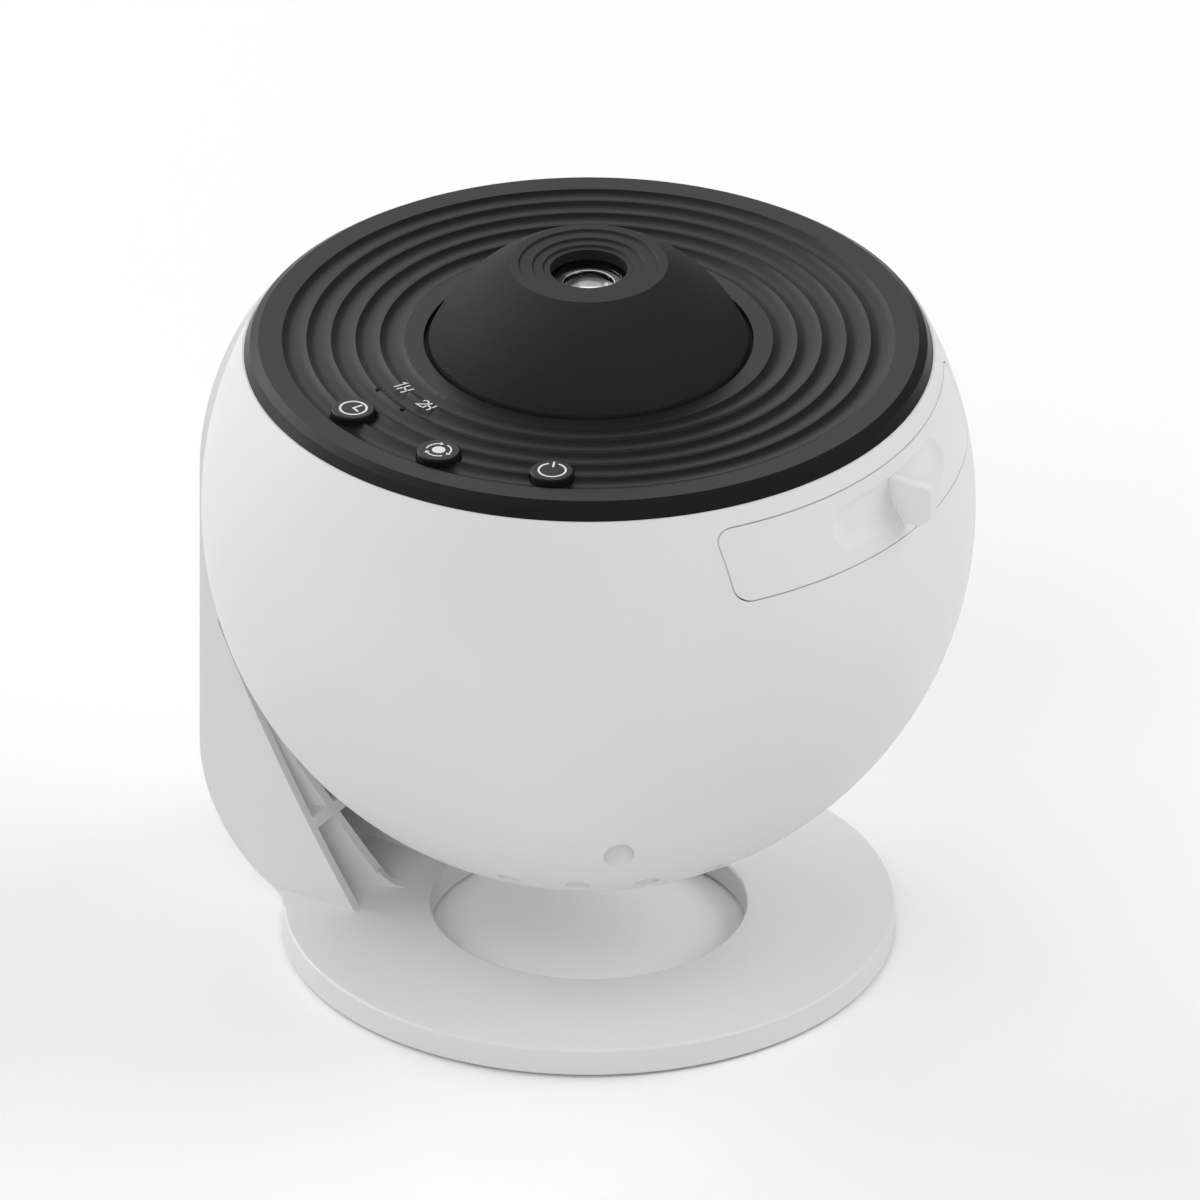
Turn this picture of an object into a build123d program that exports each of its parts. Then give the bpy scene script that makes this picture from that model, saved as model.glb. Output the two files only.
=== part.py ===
from build123d import *
import math
import os

os.makedirs("parts", exist_ok=True)

# Planetarium projector: a ball on a tilt pivot, held on one side by a ribbed stand arm.
# Millimetres. The origin is the centre of the base on the floor, +Z is up, the keys face -Y,
# the film drawer opens along +X and the stand arm is on the -X side.
# A "level" is a height above the tilt axis, so the whole head moves with axis_height.

# ---------------------------------------------------------------- shared clearances
running_fit = 0.06
running_gap = 0.10
loose_gap = 0.30
assembly_fit = 0.05

# ---------------------------------------------------------------- ball
axis_height = 94.3
ball_radius = 75.0
ball_wall = 2.2
rim_level = 33.4
facet_depth = 8.5
facet_wall = 3.0
vent_count = 22
vent_radius = 2.35
vent_inset = 27.7
vent_first_angle = -92.8
well_rim_gap = 0.4
well_guide_gap = 0.4
well_radius = 3.0
well_wall = 1.6
well_floor_level = -34.3
well_floor = 2.0

# ---------------------------------------------------------------- stand
base_radius = 59.2
base_hole_radius = 30.5
base_top = 6.0
base_edge = 0.5
foot_drop = 0.7
foot_inner_radius = 51.0
foot_width = 4.5
foot_groove = 1.0
arm_half_width = 27.75
arm_gap = 0.8
arm_thickness = 4.3
arm_wall = 2.2
arm_side_wall = 2.0
arm_bend_height = 34.0
arm_bend_radius = 32.0
arm_bend_end = 3.2
arm_toe_gap = 5.6
arm_front_bow = 1.3
arm_shoulder_height = 60.5
arm_corner_radius = 5.0
rib_turns = (-22.5, 0.0, 22.5)
rib_thickness = 2.0
rib_top_height = 57.0
rib_foot_radius = 7.0
cross_rib_height = 21.7
ball_clearance = 0.8

# ---------------------------------------------------------------- tilt pivot
pivot_radius = 5.0
pivot_head_radius = 9.0
pivot_head_height = 1.8
pivot_thread_radius = 4.0
pivot_cap_radius = 10.5
pivot_cap_thickness = 1.0
arm_boss_radius = 13.0
thrust_washer_radius = 12.0
thrust_washer_thickness = 0.8
hub_radius = 9.0
hub_length = 7.0
bush_wall = 1.5
pressure_washer_radius = 9.5
pressure_washer_thickness = 0.8
spring_washer_radius = 9.0
spring_washer_rise = 0.8
spring_washer_thickness = 0.6
nut_across_flats = 13.0
nut_height = 5.0
pivot_thread_end = 1.7

# ---------------------------------------------------------------- top plate
plate_level = 36.5
plate_thickness = 2.6
plate_rim_step = 0.4
plate_border = 2.75
plate_chamfer_width = 1.65
plate_chamfer_drop = 1.1
groove_count = 5
groove_border = 4.6
groove_margin = 3.7
groove_depth = 0.75
spigot_height = 1.6
spigot_wall = 2.0
plate_boss_radius = 4.0
plate_lip = 1.2

# ---------------------------------------------------------------- keys and indicators
key_inset = 5.4
key_angles = {"power_key": -65.0, "rotate_key": -90.0, "timer_key": -115.0}
key_radius = 4.3
key_hole_clearance = 0.2
key_pressed_height = 0.3
key_edge = 0.45
key_flange_width = 0.9
key_flange = 0.8
key_travel = 0.7
key_stem_radius = 1.7
switch_side = 6.0
switch_height = 3.1
switch_bore_clearance = 0.2
switch_floor = 0.5
stem_reach = 1.0
board_thickness = 1.6
button_board_level = 27.3
button_board_inner_width = 11.0
button_board_outer_width = 5.0
button_board_half_angle = 33.5
board_boss_angles = (-77.5, -102.5)
board_boss_radius = 2.6
indicator_groove = 2
indicator_angles = (-121.7, -110.2)
indicator_radius = 0.6
indicator_led_side = 1.6
indicator_led_height = 1.0

# ---------------------------------------------------------------- focus dome and lens group
dome_radius = 30.95
dome_gap = 1.05
dome_wall = 2.2
dome_shoulder_level = 36.9
dome_flange_width = 3.25
dome_flange_gap = 0.7
dome_bulge = 1.86
nose_level = 53.3
nose_radius = 15.4
nose_step_radii = (13.65, 10.98, 8.94)
nose_step_drop = 0.4
nose_riser = 0.28
throat_radius = 7.55
nose_skin = 2.2
cam_tube_wall = 2.0
cam_tube_bottom_level = 34.4
focus_half_angle = 60.0
focus_travel = 2.0
lens_mount_seat = 5.0
lens_screw_inset = 2.5
lens_screw_turns = (90, 210, 330)
lens_mount_flange = 2.2
lens_sleeve_inner_radius = 8.0
lens_sleeve_wall = 1.5
lens_sleeve_top_level = 44.5
cam_pin_radius = 1.0
cam_pin_level = 38.7
barrel_bottom_level = 32.9
barrel_shoulder_level = 44.3
barrel_top_level = 49.6
barrel_neck_radius = 7.0
lens_radius = 6.0
lens_clear_radius = 5.8
front_lens_seat_level = 45.9
front_lens_edge = 1.8
front_lens_sag = 1.4
rear_lens_seat_level = 37.2
rear_lens_edge = 1.3
rear_lens_sag = 1.2
rear_ledge_level = 35.3
rear_ledge_radius = 5.0
spacer_wall = 0.8
retainer_radius = 6.45
retainer_inner_radius = 4.95
retainer_top_level = 49.3
retainer_height = 1.4
retainer_dish = 0.35

# ---------------------------------------------------------------- chassis
deck_level = 14.0
deck_thickness = 2.5
light_hole_radius = 18.5
post_radius = 4.0
case_screw_radius = 1.5
case_screw_head_radius = 2.75
case_screw_head_height = 2.0
case_screw_length = 60.0
guide_end_gap = 5.7
guide_wall = 3.0
guide_height = 9.2

# ---------------------------------------------------------------- film drawer
drawer_level = 22.7
drawer_width = 82.6
drawer_height = 14.2
drawer_corner = 3.0
drawer_gap = 0.3
drawer_wall = 2.8
tray_half_width = 37.6
tray_rail = 3.6
tray_floor_level = 16.6
tray_floor = 2.1
tray_rail_height = 9.6
tray_rear_gap = 0.45
tray_front_wall = 2.4
tongue_width = 2.1
tongue_height = 2.0
tongue_set_back = 7.4
scoop_half_width = 19.85
scoop_level = 23.3
scoop_height = 9.4
scoop_depth = 1.4
fin_thickness = 2.0
fin_reach = 4.3
fin_top_level = 27.25
fin_bottom_level = 18.4
fin_root_depth = 6.0
fin_corner = 1.3
fin_heel = 2.6
drawer_boss_y = 22.0
drawer_boss_radius = 3.0
drawer_boss_length = 7.5
drawer_boss_root = 0.9

# ---------------------------------------------------------------- film disc and its drive
gear_module = 0.8
gear_teeth = 70
pinion_teeth = 18
pressure_angle = math.radians(20.0)
gear_backlash = 0.12
gear_root_depth = 1.25
gear_height = 4.2
gear_spigot_radius = 23.9
gear_spigot_height = 1.9
gear_aperture_radius = 20.5
disc_radius = 22.5
disc_seat_clearance = 0.2
disc_seat_depth = 3.0
disc_thickness = 2.4
disc_window_radius = 18.0
film_radius = 19.5
film_thickness = 0.8
film_ledge = 0.85
film_ring_thickness = 0.6
film_ring_width = 1.3
hook_width = 8.0
hook_thickness = 1.6
hook_overlap = 1.0
shaft_radius = 1.5
shaft_flat = 0.5
pinion_hub_radius = 4.0
pinion_hub_height = 1.6
shaft_engagement = 6.0
gearbox_length = 12.0
gearbox_width = 10.0
gearbox_height = 9.0
motor_can_height = 15.0
motor_cap_height = 1.2
motor_cap_inset = 1.5
motor_screw_distance = 9.0

# ---------------------------------------------------------------- light engine
housing_inner_radius = 17.6
housing_wall = 2.4
housing_flange_radius = 26.0
housing_flange = 2.0
housing_screw_ring_radius = 23.0
housing_screw_turns = (60, 180, 300)
housing_corner = 3.0
housing_bottom_level = -18.3
housing_base_side = 43.0
housing_base = 3.0
light_tube_radius = 15.5
condenser_radius = 17.5
condenser_edge = 2.0
condenser_sag = 5.0
condenser_lower_level = -10.3
condenser_gap = 3.8
condenser_ring_thickness = 1.5
condenser_ring_width = 2.0
led_board_radius = 13.0
led_side = 5.0
led_base = 0.7
led_dome_radius = 2.2
sink_side = 44.0
sink_plate = 4.0
sink_fin_height = 22.0
sink_fin_count = 9
sink_fin_thickness = 1.6
sink_screw_offset = 17.5

# ---------------------------------------------------------------- electronics at the back
main_board_width = 44.0
main_board_height = 32.0
main_board_top_level = 3.7
board_tab_x = 17.0
board_tab_width = 6.0
board_tab_thickness = 3.0
board_tab_bottom_level = -6.3
board_screw_level = -1.3
inlet_level = -20.0
inlet_width = 9.0
inlet_body_height = 10.0
inlet_nose_radius = 4.0
inlet_bore_radius = 2.8
inlet_bore_depth = 9.0
inlet_pin_radius = 1.0
inlet_proud = 0.3
inlet_nose_length = 3.5
inlet_body_length = 8.8
inlet_boss_radius = 7.0
inlet_boss_gap = 0.6
inlet_recess_radius = 6.0
inlet_recess_depth = 1.7
inlet_hole_clearance = 0.2

# ---------------------------------------------------------------- small screws and wires
small_screw_radius = 1.0
small_head_radius = 1.9
small_head_height = 1.2
cross_slot_share = 0.6
cross_slot_width = 0.5
cross_slot_depth = 0.6

# ---------------------------------------------------------------- leads
lead_radius = 0.9
lead_bend = 5.0
lead_clearance = 0.3
led_lead_x = -8.0
led_lead_start_y = 9.0
motor_lead_x = -12.0
motor_lead_level = -8.0
button_lead_x = 20.0
button_lead_inset = 4.0
button_lead_level = 0.0
button_lead_side_x = 38.0
button_lead_end_x = 8.0

# ---------------------------------------------------------------- derived places
ball_centre = (0, 0, axis_height)
ball_inner_radius = ball_radius - ball_wall
facet_distance = ball_radius - facet_depth
vent_ring_radius = ball_radius - vent_inset
arm_inner_distance = facet_distance + arm_gap
arm_outer_distance = arm_inner_distance + arm_thickness
arm_toe_distance = base_hole_radius + arm_toe_gap
section_plane = Plane(ball_centre, x_dir=(1, 0, 0), z_dir=(0, -1, 0))
rest_on_top = (Align.CENTER, Align.CENTER, Align.MIN)
hang_below = (Align.CENTER, Align.CENTER, Align.MAX)
seam_turn = (0, 0, 135)
clear_through = 2 * ball_radius

dome_hole_radius = dome_radius + dome_gap
dome_flange_radius = dome_radius + dome_flange_width
dome_recess_radius = dome_flange_radius + dome_flange_gap

rim_radius = math.sqrt(ball_radius**2 - rim_level**2)
spigot_radius = math.sqrt(ball_inner_radius**2 - rim_level**2) - assembly_fit
plate_underside = plate_level - plate_thickness
plate_radius = rim_radius - plate_rim_step
plate_flat_radius = plate_radius - plate_border
plate_chamfer_radius = plate_flat_radius + plate_chamfer_width
groove_inner_radius = dome_hole_radius + groove_margin
groove_outer_radius = plate_flat_radius - groove_border
groove_pitch = (groove_outer_radius - groove_inner_radius) / groove_count
key_ring_radius = groove_outer_radius - key_inset
key_proud = key_pressed_height + key_travel
indicator_ring_radius = groove_inner_radius + indicator_groove * groove_pitch
dome_flange_top = plate_level - plate_lip - running_gap
dome_flange_bottom = plate_underside + running_gap
lens_mount_radius = dome_recess_radius + lens_mount_seat
lens_screw_ring_radius = lens_mount_radius - lens_screw_inset
sleeve_outer_radius = lens_sleeve_inner_radius + lens_sleeve_wall
barrel_radius = lens_sleeve_inner_radius - running_fit
cam_tube_inner_radius = sleeve_outer_radius + running_fit
cam_tube_radius = cam_tube_inner_radius + cam_tube_wall
cam_pin_reach = cam_tube_radius - loose_gap
cam_lead = focus_travel * 360 / focus_half_angle
lens_bore_radius = lens_radius + assembly_fit

tray_floor_top = tray_floor_level + tray_floor
gear_bottom_level = tray_floor_top + running_gap
gear_top_level = gear_bottom_level + gear_height
gear_radius = gear_module * gear_teeth / 2
pinion_radius = gear_module * pinion_teeth / 2
gear_tip_radius = gear_radius + gear_module
motor_x = -(gear_radius + pinion_radius)
tray_inner_half_width = tray_half_width - tray_rail
tray_floor_rear = -(gear_radius - 2 * gear_module)
disc_seat_level = gear_top_level - disc_seat_depth
tongue_half_width = tray_half_width + tongue_width
guide_inner = tray_half_width + loose_gap
guide_groove = tongue_half_width + loose_gap
guide_outer = guide_groove + guide_wall
drawer_inner_radius = ball_radius - drawer_wall
tray_rail_top = tray_floor_level + tray_rail_height
tray_rear = math.sqrt(
    (ball_inner_radius - tray_rear_gap) ** 2 - tray_half_width**2 - tray_rail_top**2
)
drawer_boss_reach = math.sqrt(drawer_inner_radius**2 - drawer_boss_y**2 - drawer_level**2)
tray_front = drawer_boss_reach - drawer_boss_length
tongue_front = tray_front - tongue_set_back
fin_tip = ball_radius + fin_reach
fin_root = ball_radius - fin_root_depth

deck_radius = facet_distance - facet_wall - running_gap
deck_underside = deck_level - deck_thickness
guide_top = deck_level + guide_height
guide_half_length = math.sqrt(
    (ball_inner_radius - guide_end_gap) ** 2 - guide_outer**2 - guide_top**2
)
well_top_level = well_floor_level + well_floor
well_y = guide_outer + plate_boss_radius + well_guide_gap
well_x = math.sqrt((spigot_radius - plate_boss_radius - well_rim_gap) ** 2 - well_y**2)
well_places = [(x, y) for x in (-well_x, well_x) for y in (-well_y, well_y)]

button_board_top = button_board_level + board_thickness
button_board_inner_radius = key_ring_radius - button_board_inner_width
button_board_outer_radius = key_ring_radius + button_board_outer_width
button_lead_y = -(key_ring_radius - button_lead_inset)
switch_top = button_board_top + switch_height

inlet_wall_y = math.sqrt(ball_radius**2 - inlet_level**2)
inlet_recess_y = inlet_wall_y - inlet_recess_depth
inlet_face_y = inlet_recess_y + inlet_proud
inlet_body_front_y = inlet_face_y - inlet_nose_length
inlet_boss_start_y = inlet_body_front_y + inlet_boss_gap
main_board_y = inlet_body_front_y - inlet_body_length - board_thickness

condenser_upper_level = (
    condenser_lower_level + 2 * condenser_edge + 2 * condenser_sag + condenser_gap
)


def level(height):
    """Horizontal working plane at a height above the tilt axis."""
    return Plane.XY.offset(axis_height + height)


def polar(radius, angle):
    """Point in the plan at a radius and an angle in degrees from +X."""
    turn = math.radians(angle)
    return (radius * math.cos(turn), radius * math.sin(turn))


def bow(start, end, sagitta):
    """Middle point of an arc between two points that bows to the left of start to end."""
    middle = ((start[0] + end[0]) / 2, (start[1] + end[1]) / 2)
    run = (end[0] - start[0], end[1] - start[1])
    length = math.hypot(*run)
    return (middle[0] - sagitta * run[1] / length, middle[1] + sagitta * run[0] / length)


def gear_outline(teeth, first_angle, centre_x):
    """Corner points of a spur gear whose involute flanks are made of short straight pieces."""
    pitch_radius = gear_module * teeth / 2
    base_circle = pitch_radius * math.cos(pressure_angle)
    root = pitch_radius - gear_root_depth * gear_module
    radii = sorted({root, max(root, base_circle), pitch_radius, pitch_radius + gear_module})
    half_at_pitch = math.pi / (2 * teeth) - gear_backlash / (2 * pitch_radius)

    def involute(radius):
        roll = math.sqrt(max((radius / base_circle) ** 2 - 1, 0))
        return roll - math.atan(roll)

    points = []
    for tooth in range(teeth):
        centre = math.radians(first_angle) + 2 * math.pi * tooth / teeth
        flank = [
            (radius, half_at_pitch + involute(pitch_radius) - involute(radius)) for radius in radii
        ]
        for radius, half in flank:
            points.append(polar(radius, math.degrees(centre - half)))
        for radius, half in reversed(flank):
            points.append(polar(radius, math.degrees(centre + half)))
    return [(x + centre_x, y) for x, y in points]


def add_screw(radius, length, head_radius, head_height):
    """Cross-slotted pan-head screw: the head's seat at the local origin, the shank along +Z."""
    Cylinder(radius, length, align=rest_on_top)
    Cylinder(head_radius, head_height, align=hang_below)
    with Locations((0, 0, -head_height)):
        for turn in (0, 90):
            Box(
                2 * cross_slot_share * head_radius,
                cross_slot_width,
                cross_slot_depth,
                rotation=(0, 0, turn),
                align=rest_on_top,
                mode=Mode.SUBTRACT,
            )


def save(piece, name):
    """Label a finished piece and write its file."""
    piece.part.label = name
    export_step(piece.part, f"parts/{name}.step")


# ================================================================ stand
arm_top = axis_height + arm_half_width
arm_toe = (-arm_toe_distance, base_top)
arm_shoulder = (-arm_inner_distance, arm_shoulder_height)
arm_waist = bow(arm_toe, arm_shoulder, arm_front_bow)
bend_centre_x = -arm_outer_distance + arm_bend_radius


def bend_point(radius, height):
    """Point at a height on the back bend of the arm, about the bend's centre."""
    return (bend_centre_x - math.sqrt(radius**2 - (arm_bend_height - height) ** 2), height)


def bend_arc(radius, end_height):
    """Back bend of the arm from its upright down to a height."""
    half = math.asin((arm_bend_height - end_height) / radius) / 2
    middle = (
        bend_centre_x - radius * math.cos(half),
        arm_bend_height - radius * math.sin(half),
    )
    start = (bend_centre_x - radius, arm_bend_height)
    ThreePointArc(start, middle, bend_point(radius, end_height))


with BuildPart() as arm_blank:
    with BuildSketch(Plane.XZ):
        with BuildLine():
            Polyline(
                (-arm_inner_distance, arm_top),
                (-arm_outer_distance, arm_top),
                (-arm_outer_distance, arm_bend_height),
            )
            bend_arc(arm_bend_radius, arm_bend_end)
            Polyline(
                bend_point(arm_bend_radius, arm_bend_end),
                (-arm_toe_distance, arm_bend_end),
                arm_toe,
            )
            ThreePointArc(arm_toe, arm_waist, arm_shoulder)
            Line(arm_shoulder, (-arm_inner_distance, arm_top))
        make_face()
    extrude(amount=arm_half_width + arm_corner_radius, both=True)

with BuildPart() as arm_outer:
    add(arm_blank.part)
    with BuildSketch(Plane.YZ):
        with Locations((0, axis_height)):
            Circle(arm_half_width)
            Rectangle(2 * arm_half_width, axis_height, align=(Align.CENTER, Align.MAX))
    extrude(amount=-clear_through, mode=Mode.INTERSECT)

# Small webs round the corners between the arm's sides and the base's edge.
with BuildPart() as arm_webs:
    heel_x = bend_point(arm_bend_radius, base_top)[0]
    with BuildSketch(Plane.XY.offset(foot_drop)):
        Circle(base_radius)
        with Locations((heel_x, 0)):
            Rectangle(
                -arm_toe_distance - heel_x,
                2 * arm_half_width,
                align=(Align.MIN, Align.CENTER),
            )
        offset(amount=arm_corner_radius, kind=Kind.INTERSECTION, mode=Mode.REPLACE)
        offset(amount=-arm_corner_radius, kind=Kind.ARC, mode=Mode.REPLACE)
    extrude(amount=base_top - foot_drop)
    add(arm_blank.part, mode=Mode.INTERSECT)

with BuildPart() as arm_cavity:
    with BuildSketch(Plane.XZ):
        with BuildLine():
            skin_radius = arm_bend_radius - arm_wall
            Polyline(
                (bend_centre_x - skin_radius, arm_bend_height),
                (bend_centre_x - skin_radius, arm_top),
                (0, arm_top),
                (0, base_top),
                bend_point(skin_radius, base_top),
            )
            bend_arc(skin_radius, base_top)
        make_face()
    extrude(amount=arm_half_width, both=True)
    with BuildSketch(Plane.YZ):
        with Locations((0, axis_height)):
            Circle(arm_half_width - arm_side_wall)
            Rectangle(
                2 * (arm_half_width - arm_side_wall),
                axis_height,
                align=(Align.CENTER, Align.MAX),
            )
    extrude(amount=-clear_through, mode=Mode.INTERSECT)
    for turn in rib_turns:
        Box(
            2 * clear_through,
            rib_thickness,
            rib_top_height,
            rotation=(0, 0, turn),
            align=rest_on_top,
            mode=Mode.SUBTRACT,
        )
    with Locations((0, 0, cross_rib_height)):
        Box(clear_through, clear_through, arm_side_wall, mode=Mode.SUBTRACT)
    with BuildSketch(Plane.YZ.offset(-arm_outer_distance)):
        with Locations((0, axis_height)):
            Circle(arm_boss_radius)
    boss_face_x = facet_distance + running_gap + thrust_washer_thickness
    extrude(amount=arm_outer_distance - boss_face_x, mode=Mode.SUBTRACT)

rib_slope = math.atan2(arm_waist[1] - arm_toe[1], arm_toe[0] - arm_waist[0])


def rib_foot_point(turn):
    """Point on the rounded foot of a rib, seen from the rib's toe."""
    run = rib_foot_radius * (math.tan(rib_slope / 2) - math.sin(turn))
    return (run, rib_foot_radius * (1 - math.cos(turn)))


# The three ribs fan out from the middle of the base, and each has a rounded foot.
with BuildPart() as rib_foot:
    with BuildSketch(Plane.XZ):
        with BuildLine():
            foot_start = rib_foot_point(0)
            foot_end = rib_foot_point(rib_slope)
            ThreePointArc(foot_start, rib_foot_point(rib_slope / 2), foot_end)
            Polyline(
                foot_end,
                (foot_end[0], -base_edge),
                (foot_start[0], -base_edge),
                foot_start,
            )
        make_face()
    extrude(amount=rib_thickness / 2, both=True)

with BuildPart() as ball_sweep:
    with Locations(ball_centre):
        Sphere(ball_radius + ball_clearance, rotation=seam_turn)
    split(bisect_by=Plane.YZ.offset(-arm_inner_distance), keep=Keep.TOP)

with BuildPart() as stand_frame:
    with BuildSketch(Plane.XY.offset(foot_drop)):
        Circle(base_radius)
    extrude(amount=base_top - foot_drop)
    with BuildSketch(Plane.XY.offset(foot_drop)):
        Circle(base_hole_radius)
    extrude(amount=base_top, mode=Mode.SUBTRACT)
    top_rims = stand_frame.faces().sort_by(Axis.Z)[-1].edges()
    fillet(top_rims, base_edge)
    add(arm_outer.part)
    add(arm_webs.part)
    add(arm_cavity.part, mode=Mode.SUBTRACT)
    for turn in rib_turns:
        toe_distance = arm_toe_distance / math.cos(math.radians(turn))
        with Locations(Location((0, 0, 0), (0, 0, turn)) * Location((-toe_distance, 0, base_top))):
            add(rib_foot.part)
    add(ball_sweep.part, mode=Mode.SUBTRACT)
    with BuildSketch(Plane.XY.offset(foot_drop)):
        Circle(foot_inner_radius + foot_width + assembly_fit)
        Circle(foot_inner_radius - assembly_fit, mode=Mode.SUBTRACT)
    extrude(amount=foot_groove, mode=Mode.SUBTRACT)
    with BuildSketch(Plane.YZ.offset(-arm_outer_distance)):
        with Locations((0, axis_height)):
            Circle(pivot_cap_radius + assembly_fit)
    extrude(amount=pivot_cap_thickness + pivot_head_height, mode=Mode.SUBTRACT)
    with BuildSketch(Plane.YZ.offset(-arm_outer_distance)):
        with Locations((0, axis_height)):
            Circle(pivot_radius + assembly_fit)
    extrude(amount=arm_outer_distance - arm_inner_distance + arm_wall, mode=Mode.SUBTRACT)
save(stand_frame, "stand_frame")

with BuildPart() as foot_ring:
    with BuildSketch():
        Circle(foot_inner_radius + foot_width)
        Circle(foot_inner_radius, mode=Mode.SUBTRACT)
    extrude(amount=foot_drop + foot_groove)
save(foot_ring, "foot_ring")

# ================================================================ tilt pivot
# The bolt is held in the arm; the ball's hub turns on its shoulder, squeezed by a spring washer.
seat_x = -arm_outer_distance + pivot_cap_thickness + pivot_head_height
hub_end_x = -facet_distance + facet_wall + hub_length
pressure_x = hub_end_x + running_gap
spring_x = pressure_x + pressure_washer_thickness
nut_x = spring_x + spring_washer_rise + spring_washer_thickness
thread_end_x = nut_x + nut_height + pivot_thread_end


def axis_disc(radius, start_x, length, mode=Mode.ADD):
    """Round disc, shank or bore about the tilt axis."""
    with Locations(Location((start_x, 0, axis_height), (0, 90, 0))):
        Cylinder(radius, length, align=rest_on_top, mode=mode)


with BuildPart() as pivot_cap:
    axis_disc(pivot_cap_radius, -arm_outer_distance, pivot_cap_thickness)
    chamfer(pivot_cap.faces().sort_by(Axis.X)[0].edges(), pivot_cap_thickness / 3)
save(pivot_cap, "pivot_cap")

with BuildPart() as pivot_bolt:
    axis_disc(pivot_head_radius, seat_x - pivot_head_height, pivot_head_height)
    axis_disc(pivot_radius, seat_x, pressure_x - seat_x)
    axis_disc(pivot_thread_radius, pressure_x, thread_end_x - pressure_x)
    chamfer(pivot_bolt.faces().sort_by(Axis.X)[-1].edges(), pivot_thread_radius / 5)
save(pivot_bolt, "pivot_bolt")

with BuildPart() as thrust_washer:
    axis_disc(thrust_washer_radius, -boss_face_x, thrust_washer_thickness)
    axis_disc(pivot_radius + assembly_fit, -boss_face_x, thrust_washer_thickness, mode=Mode.SUBTRACT)
save(thrust_washer, "thrust_washer")

with BuildPart() as pivot_bush:
    axis_disc(pivot_radius + bush_wall, -facet_distance, facet_wall + hub_length)
    axis_disc(pivot_radius + running_fit, -facet_distance, facet_wall + hub_length, mode=Mode.SUBTRACT)
save(pivot_bush, "pivot_bush")

with BuildPart() as pressure_washer:
    axis_disc(pressure_washer_radius, pressure_x, pressure_washer_thickness)
    axis_disc(pivot_thread_radius + assembly_fit, pressure_x, pressure_washer_thickness, mode=Mode.SUBTRACT)
save(pressure_washer, "pressure_washer")

with BuildPart() as spring_washer:
    with BuildSketch(section_plane):
        with BuildLine():
            inner_r = pivot_thread_radius + assembly_fit
            Polyline(
                (spring_x, spring_washer_radius),
                (spring_x + spring_washer_thickness, spring_washer_radius),
                (nut_x, inner_r),
                (nut_x - spring_washer_thickness, inner_r),
                close=True,
            )
        make_face()
    revolve(axis=Axis(ball_centre, (1, 0, 0)))
save(spring_washer, "spring_washer")

with BuildPart() as pivot_nut:
    with BuildSketch(Plane.YZ.offset(nut_x)):
        with Locations((0, axis_height)):
            RegularPolygon(nut_across_flats / 2, 6, major_radius=False)
            Circle(pivot_thread_radius + assembly_fit, mode=Mode.SUBTRACT)
    extrude(amount=nut_height)
save(pivot_nut, "pivot_nut")

# ================================================================ ball shell
with BuildPart() as ball_cavity:
    with Locations(ball_centre):
        Sphere(ball_inner_radius, rotation=seam_turn)
    split(bisect_by=Plane.YZ.offset(-facet_distance + facet_wall), keep=Keep.TOP)

with BuildPart() as screw_wells:
    with BuildSketch(level(well_top_level)):
        with Locations(well_places):
            Circle(well_radius + well_wall)
    extrude(amount=-ball_radius)
    with Locations(ball_centre):
        Sphere(ball_radius - ball_wall / 2, rotation=seam_turn, mode=Mode.INTERSECT)

with BuildPart() as inlet_boss:
    with BuildSketch(Plane.XZ.offset(-inlet_boss_start_y)):
        with Locations((0, axis_height + inlet_level)):
            Circle(inlet_boss_radius)
    extrude(amount=-ball_radius)
    with Locations(ball_centre):
        Sphere(ball_radius - ball_wall / 2, rotation=seam_turn, mode=Mode.INTERSECT)

with BuildPart() as ball_shell:
    with Locations(ball_centre):
        Sphere(ball_radius, rotation=seam_turn)
    split(bisect_by=Plane.YZ.offset(-facet_distance), keep=Keep.TOP)
    add(ball_cavity.part, mode=Mode.SUBTRACT)
    add(screw_wells.part)
    add(inlet_boss.part)
    axis_disc(hub_radius, -facet_distance + facet_wall, hub_length)
    bush_bore = pivot_radius + bush_wall + assembly_fit
    axis_disc(bush_bore, -facet_distance, facet_wall + hub_length, mode=Mode.SUBTRACT)
    split(bisect_by=level(rim_level), keep=Keep.BOTTOM)
    with BuildSketch(level(rim_level)):
        Circle(spigot_radius + assembly_fit)
    extrude(amount=-(spigot_height + assembly_fit), mode=Mode.SUBTRACT)
    with BuildSketch(level(well_floor_level)):
        with Locations(well_places):
            Circle(well_radius)
    extrude(amount=-ball_radius, mode=Mode.SUBTRACT)
    with BuildSketch(level(well_floor_level)):
        with Locations(well_places):
            Circle(case_screw_radius + running_gap)
    extrude(amount=well_floor, mode=Mode.SUBTRACT)
    with BuildSketch(level(-ball_radius)):
        with PolarLocations(vent_ring_radius, vent_count, start_angle=vent_first_angle):
            Circle(vent_radius)
    extrude(amount=ball_radius + well_floor_level, mode=Mode.SUBTRACT)
    with BuildSketch(Plane.YZ):
        with Locations((0, axis_height + drawer_level)):
            RectangleRounded(
                drawer_width + 2 * drawer_gap,
                drawer_height + 2 * drawer_gap,
                drawer_corner + drawer_gap,
            )
    extrude(amount=clear_through, mode=Mode.SUBTRACT)
    with BuildSketch(Plane.XZ.offset(-inlet_recess_y)):
        with Locations((0, axis_height + inlet_level)):
            Circle(inlet_recess_radius)
    extrude(amount=-ball_radius, mode=Mode.SUBTRACT)
    with BuildSketch(Plane.XZ):
        with Locations((0, axis_height + inlet_level)):
            Circle(inlet_nose_radius + inlet_hole_clearance)
    extrude(amount=-clear_through, mode=Mode.SUBTRACT)
save(ball_shell, "ball_shell")

# ================================================================ top plate
plate_boss_length = plate_underside - deck_level
case_screw_end = well_floor_level + case_screw_length

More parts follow.
